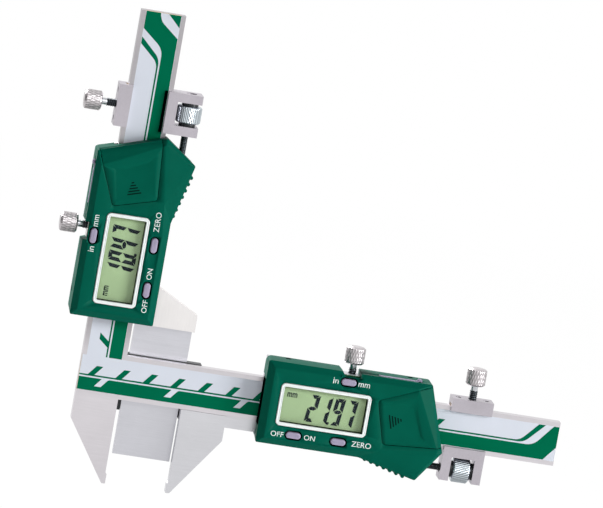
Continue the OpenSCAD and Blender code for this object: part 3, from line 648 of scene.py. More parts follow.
class Workshop:
    """Turns surfaces into Blender objects that ride on a body of the frame.

    Faces that turn by less than flat_within degrees are joined after a cut, and points within weld_within mm are
    merged. A capital is 0.69 high in a font of size 1, and film is half the letters' thickness there.
    """

    flat_within: ClassVar[float] = 0.4
    bevel_steps: ClassVar[int] = 2
    weld_within: ClassVar[float] = 0.001
    capital: ClassVar[float] = 0.69
    film: ClassVar[float] = 0.01

    def __init__(self, palette: Palette) -> None:
        """Keeps the palette."""
        self.palette = palette

    def mesh(self, name: str, shell: Shell, finish: str) -> bpy.types.Object:
        """Makes an object from a surface in millimetres, with one finish.

        Args:
            name: the object's name.
            shell: its surface.
            finish: short name of the finish.

        Returns:
            The object, at the origin.
        """
        data = bpy.data.meshes.new(name)
        data.from_pydata((shell.points * MM).tolist(), [], shell.faces)
        data.materials.append(self.palette[finish])
        if shell.crest is not None:
            layer = data.attributes.new("crest", "FLOAT", "POINT")
            layer.data.foreach_set("value", shell.crest.astype(np.float32))
        data.update()
        made = bpy.data.objects.new(name, data)
        bpy.context.scene.collection.objects.link(made)
        return made

    @staticmethod
    def redraw(data: bpy.types.Mesh, change: Callable[[bmesh.types.BMesh], object]) -> None:
        """Changes a mesh by a call on its editable form.

        Args:
            data: the mesh.
            change: what is done to its editable form.
        """
        form = bmesh.new()
        form.from_mesh(data)
        change(form)
        form.to_mesh(data)
        form.free()

    def cut(self, body: bpy.types.Object, cutters: Sequence[bpy.types.Object],
            mode: str = "DIFFERENCE") -> bpy.types.Object:
        """Cuts a solid with other solids and removes them.

        Args:
            body: the solid that stays.
            cutters: the solids that cut it; their material goes to the cut faces.
            mode: DIFFERENCE, INTERSECT or UNION.

        Returns:
            The solid, with the cuts in its mesh.
        """
        for piece in (body, *cutters):
            self.redraw(piece.data, lambda form: bmesh.ops.triangulate(form, faces=form.faces))
        for cutter in cutters:
            modifier = body.modifiers.new(cutter.name, "BOOLEAN")
            modifier.operation, modifier.object, modifier.solver = mode, cutter, "EXACT"
            modifier.material_mode = "TRANSFER"
        done = bpy.data.meshes.new_from_object(body.evaluated_get(bpy.context.evaluated_depsgraph_get()))
        body.modifiers.clear()
        old, body.data = body.data, done
        bpy.data.meshes.remove(old)
        self.redraw(done, lambda form: bmesh.ops.dissolve_limit(
            form, angle_limit=math.radians(self.flat_within), verts=form.verts, edges=form.edges, delimit={"MATERIAL"}))
        for cutter in cutters:
            data = cutter.data
            bpy.data.objects.remove(cutter)
            bpy.data.meshes.remove(data)
        return body

    def soften(self, piece: bpy.types.Object, width: float = 0.0, angle: float = 40.0) -> bpy.types.Object:
        """Shades a piece smooth up to an angle, and bevels its sharper edges by width in mm.

        Args:
            piece: the object.
            width: width of the bevel; 0 bevels nothing.
            angle: edges that turn by more than this stay sharp, or are bevelled.

        Returns:
            The same object.
        """
        data = piece.data
        data.polygons.foreach_set("use_smooth", np.ones(len(data.polygons), bool))
        if width > 0:
            bevel = piece.modifiers.new("edge", "BEVEL")
            bevel.width, bevel.segments, bevel.limit_method = width * MM, self.bevel_steps, "ANGLE"
            bevel.angle_limit, bevel.use_clamp_overlap = math.radians(angle), True
            bevel.miter_outer = "MITER_ARC"
        else:
            data.set_sharp_from_angle(angle=math.radians(angle))
        piece.modifiers.new("joined", "WELD").merge_threshold = self.weld_within * MM
        piece.modifiers.new("triangles", "TRIANGULATE").min_vertices = 5
        weighted = piece.modifiers.new("normals", "WEIGHTED_NORMAL")
        weighted.keep_sharp = width <= 0
        return piece

    def finish(self, piece: bpy.types.Object, body: str, slot: str, replaces: Sequence[str] = ()) -> bpy.types.Object:
        """Lets a piece ride on a body and hides the CAD nodes that it stands for.

        Args:
            piece: the object.
            body: the moving body that carries it.
            slot: not used.
            replaces: the CAD nodes that it stands for.

        Returns:
            The same object.
        """
        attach(piece, body)
        if replaces:
            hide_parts(*replaces)
        LOG.info("%s rides on %s", piece.name, body)
        return piece

    def lettering(self, name: str, words: str, height: float, left: Sequence[float], w: float,
                  place: Callable[[np.ndarray], np.ndarray], finish: str, stretch: float = 1.0,
                  weight: float = 0.0) -> bpy.types.Object:
        """Raised lettering, a film thick, read from the display side.

        Args:
            name: the piece's name.
            words: what it says.
            height: height of a capital in mm.
            left: (u, v) of the first letter's foot.
            w: where the letters lie.
            place: sends (u, w, v) to the row's coordinates.
            finish: short name of the finish.
            stretch: width factor.
            weight: what the strokes gain on each side, as a share of the font's size.

        Returns:
            The piece, as a mesh.
        """
        curve = bpy.data.curves.new(name, "FONT")
        curve.body, curve.size, curve.resolution_u = words, 1.0, 4
        curve.extrude, curve.offset = self.film, weight
        holder = bpy.data.objects.new(name + "_curve", curve)
        bpy.context.scene.collection.objects.link(holder)
        data = bpy.data.meshes.new_from_object(holder.evaluated_get(bpy.context.evaluated_depsgraph_get()))
        bpy.data.objects.remove(holder)
        bpy.data.curves.remove(curve)
        self.redraw(data, lambda form: bmesh.ops.remove_doubles(form, verts=form.verts, dist=0.0001))
        flat = np.zeros(len(data.vertices) * 3, np.float32)
        data.vertices.foreach_get("co", flat)
        flat = flat.reshape(-1, 3).astype(float)
        scale = height / self.capital
        u = left[0] + flat[:, 0] * scale * stretch
        v = left[1] + flat[:, 1] * scale
        points = place(np.stack([u, w - flat[:, 2] * 2.0, v], -1)) * MM
        data.vertices.foreach_set("co", points.astype(np.float32).ravel())
        data.materials.clear()
        data.materials.append(self.palette[finish])
        data.update()
        made = bpy.data.objects.new(name, data)
        bpy.context.scene.collection.objects.link(made)
        return made


@dataclass
class ScaleLabel:
    """The printed label on a beam: a white film with green lines, green marks and a green band with white marks."""

    beam: Beam
    start: float
    end: float
    print_end: float
    marks: np.ndarray
    long_marks: np.ndarray
    half: float = 6.3
    film: float = 0.02
    front: float = -2.0

    def place(self, points: np.ndarray) -> np.ndarray:
        """Sends (along, w, across) to the row; across is towards the white side."""
        return self.beam.place(*np.moveaxis(points, -1, 0))

    def clipped(self, outline: Sequence[Sequence[float]]) -> np.ndarray:
        """Cuts an outline off at the label's end, side by side along its sides.

        Args:
            outline: the outline's corners.

        Returns:
            What is left of it; no points where it lies wholly past the end.
        """
        p = np.asarray(outline, float)
        q = np.roll(p, -1, 0)
        inside, inside_next = p[:, 0] <= self.end, q[:, 0] <= self.end
        run = np.where(q[:, 0] == p[:, 0], 1, q[:, 0] - p[:, 0])
        share = np.where(inside != inside_next, (self.end - p[:, 0]) / run, 0)
        cross = p + share[:, None] * (q - p)
        both = np.stack([p, cross], 1).reshape(-1, 2)
        keep = np.stack([inside, inside != inside_next], 1).ravel()
        return both[keep]

    def bend(self, level: float, knee: float, top: float, reach: float) -> np.ndarray:
        """A line that runs level to a knee, then straight up to the white edge, its knee rounded.

        Args:
            level: its place across the label.
            knee: where the two straight parts would meet, before the print's end.
            top: where it meets the white edge, before the print's end.
            reach: length of each straight part that the rounding takes.

        Returns:
            Its points from the level part to the edge.
        """
        corner = np.array([self.print_end - knee, level])
        tip = np.array([self.print_end - top, self.half])
        foot = corner - (reach, 0.0)
        rise = corner + (tip - corner) * reach / np.linalg.norm(tip - corner)
        s = np.linspace(0, 1, 9)[:, None]
        curve = (1 - s) ** 2 * foot + 2 * s * (1 - s) * corner + s**2 * rise
        return np.vstack([curve, tip])

    def green_outlines(self) -> list[np.ndarray]:
        """Returns the outlines of everything printed green."""
        first, end, half = self.start, self.print_end, self.half
        upper, lower = self.bend(-0.48, 16.9, 10.8, 2.3), self.bend(-1.06, 15.35, 8.35, 2.4)
        thin = np.vstack([[(first, -1.06)], lower, upper[::-1], [(first, -0.48)]])
        edge = self.bend(-1.6, 11.8, 5.3, 2.9)
        stripe = np.array([(end - 7.4, -half), (end - 2.9, -0.75), (end - 2.2, -0.05), (end - 1.4, 0.45),
                           (end, 0.95), (end + 2, 1.2)])
        band = np.vstack([[(first, -half)], stripe, [(end + 2, half)], edge[::-1], [(first, -1.6)]])
        corner = np.array([(end - 3.5, -half), (end + 2, -half), (end + 2, -0.8)])
        marks = [np.array([(b, -0.56), (b + 2.35, -0.56), (b + 5.15, 2.85), (b + 2.8, 2.85)]) for b in self.marks]
        return [thin, band, corner, *marks]

    def white_outlines(self) -> list[np.ndarray]:
        """Returns the outlines of the white marks that hang into the green band."""
        return [np.array([(a - 2.42, -4.55), (a, -4.55), (a + 2.1, -1.95), (a + 2.75, -1.58), (a, -1.58)])
                for a in self.long_marks]

    def build(self, shop: Workshop) -> None:
        """Prints the label: each form is a film that lies on the label's face.

        Args:
            shop: the workshop that makes and finishes the pieces.
        """
        name = self.beam.value
        forms = [form for form in map(self.clipped, self.green_outlines()) if len(form) > 2]
        green = Shell.join(puck(form, self.front - self.film, self.front - 0.002) for form in forms)
        white = Shell.join(puck(form, self.front - 2 * self.film, self.front - self.film - 0.001)
                           for form in self.white_outlines())
        for kind, shell in (("green", green), ("white", white)):
            piece = shop.mesh(f"{name}_label_{kind}", shell.placed(self.place), f"label_{kind}")
            shop.finish(piece, "frame", "label")


@dataclass
class Unit:
    """One electronic slider: its case, display, buttons, cover, screws and fine feed."""

    beam: Beam
    start: float
    reading: str
    slot_low: float = 0.0
    slot_side: float = 0.0
    front: float = -10.5
    step: float = -8.2
    back: float = 2.1
    display: tuple[float, float] = (22.0, 0.88)
    window: tuple[float, float] = (32.9, 15.5)
    side: tuple[tuple[float, float, float], ...] = (
        (-0.1, -14.5, 0.6), (33.0, -14.5, 3.0), (37.6, -14.5, 3.0), (59.2, -19.8, 0.8),
        (67.4, -8.4, 0.8), (59.7, 15.6, 0.6), (-0.1, 15.7, 0.6))
    rear: tuple[tuple[float, float, float], ...] = (
        (0.0, -14.4, 2.0), (33.0, -14.4, 3.0), (37.7, -14.4, 3.0), (58.8, -19.8, 1.6),
        (67.0, -8.6, 1.6), (59.8, 15.7, 1.2), (0.0, 15.7, 2.0))
    face: tuple[tuple[float, float, float], ...] = (
        (2.5, -12.0, 0.3), (33.1, -12.0, 0.8), (44.3, -10.8, 0.8), (60.4, -14.75, 0.4),
        (65.3, -7.9, 0.4), (54.6, 13.7, 0.3), (2.4, 13.5, 0.3))
    tip: tuple[float, float, float] = (59.75, -9.25, -17.5)
    ahead: float = -12.0
    behind: float = 4.0
    wall: float = 1.6
    beam_room: float = 17.6
    cover_gap: float = 0.2
    port_u: float = 48.0
    lock_u: float = 31.3
    clamp_u: float = 76.05
    rod_v: float = -15.0
    knob_radius: float = 3.55
    knob_length: float = 6.1
    drum_radius: float = 4.6
    lcd_front: float = -8.6
    keys: dict[str, tuple[float, float]] = field(default_factory=lambda: {
        "unit": (29.3, 12.25), "power": (12.8, -9.85), "zero": (29.1, -9.75)})

    @property
    def name(self) -> str:
        """The unit's first word in every node and body name."""
        return self.beam.value

    def place(self, points: np.ndarray) -> np.ndarray:
        """Sends (u, w, v) to the row's coordinates, in mm."""
        u, w, v = np.moveaxis(points, -1, 0)
        return self.beam.place(self.start + u, w, v)

    def solid(self, shop: Workshop, name: str, shell: Shell, finish: str) -> bpy.types.Object:
        """Makes an object of a surface given in the slider's coordinates."""
        return shop.mesh(f"{self.name}_{name}", shell.placed(self.place), finish)

    @staticmethod
    def between(low: Sequence[Sequence[float]], high: Sequence[Sequence[float]], share: float) -> np.ndarray:
        """Returns the rounded outline that lies a share of the way from one outline to another."""
        mixed = np.array(low) + (np.array(high) - np.array(low)) * share
        return rounded(mixed[:, :2], np.maximum(mixed[:, 2], 0.25))

    def case_form(self) -> Shell:
        """The case's outer form: rings of the outline that run up the side and over the bevel.

        The side has a little draft, and its corners are rounder at the back. The bevel's two edges are eased by
        rings close together, as a mould's are.

        Returns:
            The closed case, in the slider's coordinates.
        """
        depth = self.step - self.front
        steps = [(0.0, 0.0), (0.05, 0.015), (0.12, 0.08), (0.9, 0.88), (0.965, 0.955), (1.0, 1.02)]
        rings = [ring(self.between(self.rear, self.side, share), self.back - up)
                 for share, up in ((0, 0), (0, 3), (0.5, 6))]
        rings += [ring(self.between(self.side, self.face, share), self.step - depth * rise) for rise, share in steps]
        return loft(np.stack(rings))

    def tip_wedge(self) -> Shell:
        """What is cut off the face beside its tip: the room in front of a plane through two face corners and the tip.

        The plane's depth at (u, v) is the front plus the slope times the distance past the line of the corners.

        Returns:
            The closed wedge that is cut away.
        """
        a, b = np.array(self.face[2][:2]), np.array(self.face[4][:2])
        line = (b - a) / np.linalg.norm(b - a)
        away = np.array([line[1], -line[0]])
        slope = (self.tip[1] - self.front) / ((np.array((self.tip[0], self.tip[2])) - a) @ away)
        far, near = 14, 0.5
        corners = np.array([a - far * line + far * away, b + far * line + far * away,
                            b + far * line - near * away, a - far * line - near * away])
        plane = self.front + slope * ((corners - a) @ away)
        return loft(np.stack([ring(corners, plane), ring(corners, self.front - 2.0)]))

    def notch(self) -> Shell:
        """Room for the lock screw in the case's top: its floor falls by 0.17 mm with each mm towards the back.

        Returns:
            The closed room that is cut away.
        """
        left, right, top, above, fall = 27.6, 33.8, 14.4, 17.0, 0.17
        rings = []
        for w in (self.ahead, self.front, self.back, 6.0):
            floor = top - fall * max(0.0, w - self.front)
            outline = np.array([(left + 0.1 * (top - floor), floor), (right, floor), (right, above), (26.0, above)])
            rings.append(ring(outline, w))
        return loft(np.stack(rings[::-1]))

    def housing(self, shop: Workshop) -> None:
        """The case with its openings.

        Args:
            shop: the workshop that makes and finishes the pieces.
        """
        body = self.solid(shop, "case", self.case_form(), "case_green")
        inside = shrunk([c[:2] for c in self.rear], [c[2] for c in self.rear], self.wall)
        window = rectangle(self.window[0] + 0.3, self.window[1] + 0.3, self.display, 1.75)
        port = rectangle(16, 3, (self.port_u, 15.6), 0.05, 1)
        # Openings cut with the recess finish get near-black inner faces as painted shade.
        room = [
            ("hollow", puck(inside, self.step + 0.4, self.behind), "recess"),
            ("beam_room", puck(rectangle(80, self.beam_room, (31, 0.5), 0.05, 1), -2.7, self.behind), "recess"),
        ]
        cutters = [
            ("display_hole", puck(window, self.ahead, -6), "recess"),
            ("cover_room", puck(self.cover_outline(0.0), self.ahead, self.front + 1.35), "recess"),
            ("cover_end_room", puck(self.cover_end(0.0), self.ahead + 0.1, self.step + 0.75), "recess"),
            ("port_slot", puck(port, -6.9, -4.9), "recess"),
            ("notch", self.notch(), "case_green"),
        ]
        boss = puck(np.array([(25.6, 9.0), (36.4, 9.0), (35.6, 13.5), (35.1, 14.1), (34.4, 14.45), (26.4, 14.55)]),
                    self.front, self.step + 0.1)
        saddle = puck(np.array([(25.4, 10.4), (36.4, 10.4), (36.4, 14.55), (25.4, 14.55)]),
                      self.step - 0.4, self.back - 0.05)
        shop.cut(body, [self.solid(shop, "boss", boss, "case_green")], "UNION")
        shop.cut(body, [self.solid(shop, key, shell, finish) for key, shell, finish in room])
        shop.cut(body, [self.solid(shop, "saddle", saddle, "case_green")], "UNION")
        for key, middle in self.keys.items():
            cutters.append((key + "_hole", puck(rectangle(6.5, 3.4, middle, 1.69, 8), self.ahead, -8.1), "recess"))
        cutters.append(("tip_wedge", self.tip_wedge(), "case_green"))
        for u, radius in ((self.lock_u, 1.85), (7.75, 1.1), (52.25, 1.1)):
            hole = turned(Axis((u, 0, 7), (0, 0, 1)), [(0, radius), (12, radius)], 24)
            cutters.append((f"hole_{u}", hole, "recess"))
        rod_hole = turned(Axis((56, 0, self.rod_v), (1, 0, 0)), [(0, 1.85), (14, 1.85)], 24)
        cutters.append(("rod_hole", rod_hole, "recess"))
        if self.slot_low:
            shank = np.array([(-1, self.slot_low), (3, self.slot_low), (3, 0), (-1, 0)])
            cutters.append(("shank_room", puck(shank, -2.1, self.behind), "recess"))
        if self.slot_side:
            arm = np.array([(-1, -16), (self.slot_side, -16), (self.slot_side, -7), (-1, -7)])
            cutters.append(("arm_room", puck(arm, -1.25, self.behind), "recess"))
        shop.cut(body, [self.solid(shop, key, shell, finish) for key, shell, finish in cutters])
        ridges = [turned(Axis((40.2 + i * 2.42, self.step + 0.35, -14.95 - i * 0.675), (0, 1, 0)),
                         [(0, 0.3), (0.3, 0.7), (9.4, 0.7), (9.6, 0.3)], 14) for i in range(7)]
        shop.soften(body, 0.12, 38.0)
        shop.finish(body, f"{self.name}_slider", "green_plastic", [f"{self.name}_housing"])
        # Painted shade: a near-black plate at the case's left end, where the beam enters, stands for the deep shade
        # there.
        end_shade_plate = self.solid(shop, "end_shade_plate", puck(rectangle(0.5, 17.0, (0.08, 0.0), 0.1, 2), -7.9, -2.06), "recess")
        shop.finish(shop.soften(end_shade_plate, 0.05, 40.0), f"{self.name}_slider", "green_plastic")
        grip = self.solid(shop, "thumb_ridges", Shell.join(ridges), "case_green")
        shop.finish(shop.soften(grip), f"{self.name}_slider", "green_plastic")

    def cover_outline(self, gap: float) -> np.ndarray:
        """Outline of the battery cover, drawn in by gap."""
        corners = [(45.05, -8.3), (63.8, -6.95), (69, -6.5), (69, 15.5), (60, 15.1), (54.6, 13.0), (40.8, 7.4)]
        return shrunk(corners, (1.5, 0.3, 0.3, 0.3, 0.3, 0.3, 1.3), gap)

    def cover_end(self, gap: float) -> np.ndarray:
        """Outline of the part of the cover that wraps round the case's end, drawn in by gap."""
        corners = [(65.3, -6.7), (68.9, -6.38), (68.9, 15.36), (60.15, 14.98), (57.5, 13.95)]
        return shrunk(corners, 0.3, gap)

    @staticmethod
    def hollow_depth(points: np.ndarray) -> np.ndarray:
        """Depth of the cover's thumb hollow: a plane that starts at its left side and falls to the right."""
        across = (points - (43.3, 6.1)) @ (0.966, 0.257)
        return 0.03 + 0.068 * across

    def battery_cover(self, shop: Workshop) -> None:
        """The sliding battery cover with its hollow for the thumb and the five bars in it.

        Args:
            shop: the workshop that makes and finishes the pieces.
        """
        cover = self.solid(shop, "cover", self.case_form(), "case_green")
        lid = puck(self.cover_outline(self.cover_gap), self.ahead, self.front + 1.2)
        end = puck(self.cover_end(self.cover_gap), self.ahead + 0.1, self.step + 0.6)
        region, wrap = self.solid(shop, "region", lid, "case_green"), self.solid(shop, "wrap", end, "case_green")
        shop.cut(region, [wrap], "UNION")
        shop.cut(cover, [region], "INTERSECT")
        rim = rounded([(46.3, -6.9), (60.1, -4.7), (54.5, 9.1), (43.0, 6.5)], 0.5)
        floor = rounded([(46.55, -6.5), (58.6, -3.4), (53.3, 7.7), (43.35, 6.1)], 0.35)
        depth = self.hollow_depth(floor)
        rings = np.stack([ring(floor, self.front + depth), ring(rim, self.front),
                          ring(inset(rim, -0.6), self.front - 1.0)])
        shop.cut(cover, [self.solid(shop, "hollow_cut", loft(rings), "case_green")])
        shop.soften(cover, 0.1, 9.0)
        shop.finish(cover, f"{self.name}_battery_door", "green_plastic", [f"{self.name}_battery_cover"])
        bars, count, thick = [], 5, 0.46
        for i in range(count):
            half, u, v = 2.4 * (1 - i / count), 46.2 + 0.95 * i, 0.4 + 0.28 * i
            lean = 0.29 * half
            line = np.array([(u + lean, v - half), (u + thick + lean, v - half),
                             (u + thick - lean, v + half), (u - lean, v + half)])
            level = self.front + self.hollow_depth(line)
            bars.append(loft(np.stack([ring(line, level + 0.2), ring(line, level - 0.06)])))
        piece = self.solid(shop, "cover_bars", Shell.join(bars), "bar_dark")
        shop.finish(piece, f"{self.name}_battery_door", "green_plastic")

    def display_parts(self, shop: Workshop) -> None:
        """The display's border, the shade strip inside it, its digits and the small mm beside them.

        Args:
            shop: the workshop that makes and finishes the pieces.
        """
        outer = rectangle(*self.window, self.display, 1.6, 8)
        top = self.front - 0.35
        profile = [(0.0, -8.55), (0.0, top + 0.32), (0.08, top + 0.1), (0.25, top), (0.42, top + 0.02),
                   (0.6, top + 0.14), (0.8, top + 0.14), (0.95, top + 0.02), (1.08, top), (1.2, top + 0.1),
                   (1.28, top + 0.3), (1.34, -8.55)]
        piece = self.solid(shop, "display_border", border(outer, profile), "silver_white")
        shop.soften(piece, 0.0, 50.0)
        shop.finish(piece, f"{self.name}_slider", "silver_white", [f"{self.name}_display_bezel"])
        inner = inset(outer, 1.26)
        low = self.lcd_front
        strip = border(inner, [(0.0, low), (0.0, -10.3), (0.08, -10.3), (0.22, -8.7), (0.22, low)])
        piece = self.solid(shop, "display_shade", strip, "display_shadow")
        shop.finish(shop.soften(piece, 0.0, 30.0), f"{self.name}_slider", "silver_white")
        piece = self.solid(shop, "reading", SevenSegments(self.reading).shell(), "digit")
        shop.finish(piece, f"{self.name}_slider", "lcd")
        words = shop.lettering(f"{self.name}_small_mm", "mm", 2.3, (8.3, 3.6), -8.57, self.place, "digit",
                               0.74, 0.026)
        shop.finish(words, f"{self.name}_slider", "lcd")

    def buttons(self, shop: Workshop) -> None:
        """Three pill-shaped buttons with a crowned face.

        Args:
            shop: the workshop that makes and finishes the pieces.
        """
        for key, middle in self.keys.items():
            pill = rectangle(5.4, 2.3, middle, 1.149, 10)
            top = self.front - 0.45
            profile = [(0.0, self.lcd_front), (0.0, top + 0.5), (0.05, top + 0.28), (0.16, top + 0.12),
                       (0.34, top + 0.04), (0.6, top)]
            shell = loft(np.stack([ring(inset(pill, d), w) for d, w in profile]))
            piece = shop.soften(self.solid(shop, f"{key}_button_cap", shell, "lavender"), 0.0, 50.0)
            shop.finish(piece, f"{self.name}_{key}_key", "lavender", [f"{self.name}_{key}_button"])

    def words(self, shop: Workshop) -> None:
        """The generic lettering beside the buttons.

        Args:
            shop: the workshop that makes and finishes the pieces.
        """
        texts = (("in", 2.2, (23.4, 11.25), 1.0), ("mm", 2.2, (32.6, 11.3), 0.92), ("OFF", 1.85, (4.5, -11.0), 1.02),
                 ("ON", 1.85, (16.6, -10.8), 1.0), ("ZERO", 1.95, (34.0, -10.5), 1.0))
        for index, (text, height, left, stretch) in enumerate(texts):
            piece = shop.lettering(f"{self.name}_words_{index}", text, height, left, self.front - 0.01, self.place,
                                   "letter", stretch)
            shop.finish(piece, f"{self.name}_slider", "green_plastic")

    def port(self, shop: Workshop) -> None:
        """The slim cover over the data port, with its nub.

        Args:
            shop: the workshop that makes and finishes the pieces.
        """
        strip = puck(rectangle(15.7, 1.7, (self.port_u, 0), 0.2, 3), 0, 1)
        u, w, v = np.moveaxis(strip.points, -1, 0)
        strip.points = np.stack([u, -5.9 + v, 15.8 - w * 1.6], -1)
        nub = puck(rectangle(1.6, 1.7, (55.05, 0), 0.3, 4), 0, 1, 0.3)
        u, w, v = np.moveaxis(nub.points, -1, 0)
        nub.points = np.stack([u, -5.9 + v, 16.6 - w * 1.2], -1)
        piece = self.solid(shop, "port_plug", Shell.join([strip, nub]), "port_grey")
        shop.finish(shop.soften(piece, 0.0, 40.0), f"{self.name}_port_door", "lavender", [f"{self.name}_port_cover"])

    def screws(self, shop: Workshop) -> None:
        """The two knurled screws, the feed rod and the feed nut.

        Args:
            shop: the workshop that makes and finishes the pieces.
        """
        for key, body, u, tip, lift in (("lock", "lock", self.lock_u, 9.3, 17.6),
                                        ("clamp", "clamp_lock", self.clamp_u, 8.9, 16.5)):
            axis = Axis((u, 0.0, 0.0), (0, 0, 1))
            knob = knurled(axis, lift, lift + self.knob_length, self.knob_radius, 0.5, Knurl.DIAMOND, 22, 0.12, 1.0)
            crown = turned(axis, [(lift + 6.0, 2.7), (lift + 6.22, 2.6), (lift + 6.3, 2.2)], 40)
            node = f"{self.name}_{body}_screw"
            top = self.solid(shop, f"{key}_knob", Shell.join([knob, crown]), "knurl_nickel")
            shop.finish(shop.soften(top, 0.0, 60.0), f"{self.name}_{body}", "nickel", [node])
            neck = turned(axis, [(lift - 2.2, 1.15), (lift - 1.9, 1.25), (lift + 0.2, 1.25)], 32)
            stem = self.solid(shop, f"{key}_neck", neck, "nickel")
            shop.finish(shop.soften(stem, 0.0, 60.0), f"{self.name}_{body}", "nickel")
            shank = self.solid(shop, f"{key}_thread", threaded(axis, tip, lift - 1.9, 1.5, 0.7, 0.25), "thread_black")
            shop.finish(shop.soften(shank, 0.0, 80.0), f"{self.name}_{body}", "nickel")
        axis = Axis((0.0, 0.0, self.rod_v), (1, 0, 0))
        rod = self.solid(shop, "feed_thread", threaded(axis, 53.4, 81.9, 1.3, 0.5, 0.16), "thread_black")
        shop.finish(shop.soften(rod, 0.0, 80.0), f"{self.name}_slider", "black_steel", [f"{self.name}_feed_rod"])
        drum = knurled(axis, 73.05, 79.25, self.drum_radius, 0.5, Knurl.SLANTED, 30, 0.21, 1.6)
        collars = [turned(axis, [(a, 1.6), (a, 3.0), (b, 3.0), (b, 1.6)], 40)
                   for a, b in ((71.95, 73.1), (79.2, 80.35))]
        nut = self.solid(shop, "feed_drum", drum, "knurl_zinc")
        shop.finish(shop.soften(nut, 0.0, 60.0), f"{self.name}_nut", "nickel", [f"{self.name}_feed_nut"])
        rims = self.solid(shop, "feed_collars", Shell.join(collars), "black_steel")
        shop.finish(shop.soften(rims, 0.08, 40.0), f"{self.name}_nut", "nickel")
        # Painted shadow: a black strip beside the upright clamp stands for the shadow that the clamp block casts on the
        # beam.
        if self.beam is Beam.HEIGHT:
            strip = puck(rectangle(15.0, 1.0, (self.clamp_u, -5.6), 0.1, 1), -2.35, -2.04)
            shadow_strip = self.solid(shop, "clamp_shadow_strip", strip, "recess")
            shop.finish(shop.soften(shadow_strip, 0.05, 40.0), f"{self.name}_clamp", "black_steel")

    def build(self, shop: Workshop) -> None:
        """Builds every dressed piece of the slider.

        Args:
            shop: the workshop that makes and finishes the pieces.
        """
        self.housing(shop)
        self.battery_cover(shop)
        self.display_parts(shop)
        self.buttons(shop)
        self.words(shop)
        self.port(shop)
        self.screws(shop)


@dataclass
class SevenSegments:
    """The digits on a display, right to left from a fixed edge."""

    reading: str
    right: float = 34.35
    foot: float = -4.4
    height: float = 10.0
    pitch: float = 4.6
    width: float = 3.55
    bar: float = 1.36
    slant: float = 0.12
    gap: float = 0.06
    w: float = -8.58
    lit: dict[str, str] = field(default_factory=lambda: {
        "0": "abcdef", "1": "bc", "2": "abged", "3": "abgcd", "4": "fgbc", "5": "afgcd", "6": "afgedc",
        "7": "abc", "8": "abcdefg", "9": "abcdfg"})

    def level(self, y: float, side: int) -> np.ndarray:
        """Outline of a level bar whose outer edge is at y: side 1 for the top bar, -1 for the foot's."""
        g, b, x = self.gap, self.bar, self.width
        return np.array([(g + b * 0.3, y), (g + b, y - b * side), (x - g - b, y - b * side), (x - g - b * 0.3, y)])

    def upright(self, u: float, low: float, high: float, side: int) -> np.ndarray:
        """Outline of an upright bar whose outer edge is at u: side 1 for the left bars, -1 for the right ones.

        Args:
            u: place of its outer edge.
            low: height of its foot.
            high: height of its top.
            side: 1 for the left bars and -1 for the right ones.

        Returns:
            The outline.
        """
        g, b = self.gap, self.bar
        return np.array([(u, low + g), (u + b * side, low + g + b * 0.8), (u + b * side, high - g - b * 0.8),
                         (u, high - g)])

    def segments(self) -> dict[str, np.ndarray]:
        """Outlines of the seven bars of a digit, its foot's left corner at the origin.

        Returns:
            The outlines by the letters a to g, clockwise from the top bar, with g in the middle.
        """
        h, x, b, g, m = self.height, self.width, self.bar, self.gap, self.height / 2
        middle = np.array([(g + b * 0.2, m), (g + b * 0.8, m - b / 2), (x - g - b * 0.8, m - b / 2),
                           (x - g - b * 0.2, m), (x - g - b * 0.8, m + b / 2), (g + b * 0.8, m + b / 2)])
        return {"a": self.level(h, 1), "d": self.level(0, -1), "g": middle,
                "f": self.upright(0, m, h, 1), "e": self.upright(0, 0, m, 1),
                "b": self.upright(x, m, h, -1), "c": self.upright(x, 0, m, -1)}

    def shell(self) -> Shell:
        """All lit bars as films on the panel, leaning to the right with height.

        Returns:
            The bars of the whole reading as one surface.
        """
        bars, u = self.segments(), self.right - self.width - self.slant * self.height
        outlines, shells = [], []
        for sign in reversed(self.reading):
            if sign == ".":
                outlines.append(rectangle(0.95, 0.95, (u + self.pitch - 0.62, 0.47), 0.25, 3))
                continue
            outlines += [bars[key] + (u, 0.0) for key in self.lit[sign]]
            u -= self.pitch
        for line in outlines:
            leaning = line + np.stack([self.slant * line[:, 1], np.full(len(line), self.foot)], -1)
            area = np.sum(leaning[:, 0] * np.roll(leaning[:, 1], -1) - np.roll(leaning[:, 0], -1) * leaning[:, 1])
            shells.append(puck(leaning if area > 0 else leaning[::-1], self.w - 0.02, self.w + 0.028))
        return Shell.join(shells)


@dataclass
class PlateCut:
    """The CAD slider of a unit with the notch for the lock screw cut into its back plate."""

    unit: Unit
    node: str
    finish: str

    def build(self, shop: Workshop) -> None:
        """Copies the node's mesh, merges it, cuts it and lets the copy stand for the node.

        Args:
            shop: the workshop that makes and finishes the pieces.
        """
        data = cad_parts[self.node].data.copy()
        shop.redraw(data, lambda form: bmesh.ops.remove_doubles(form, verts=form.verts, dist=0.000001))
        data.materials.clear()
        data.materials.append(shop.palette[self.finish])
        piece = bpy.data.objects.new(f"{self.node}_plate", data)
        bpy.context.scene.collection.objects.link(piece)
        room = puck(np.array([(27.0, 12.3), (33.8, 12.3), (33.8, 17.0), (26.0, 17.0)]), self.unit.back - 0.05, 6.0)
        shop.cut(piece, [self.unit.solid(shop, "plate_room", room, self.finish)])
        shop.finish(shop.soften(piece, 0.12, 40.0), f"{self.unit.name}_slider", "steel", [self.node])


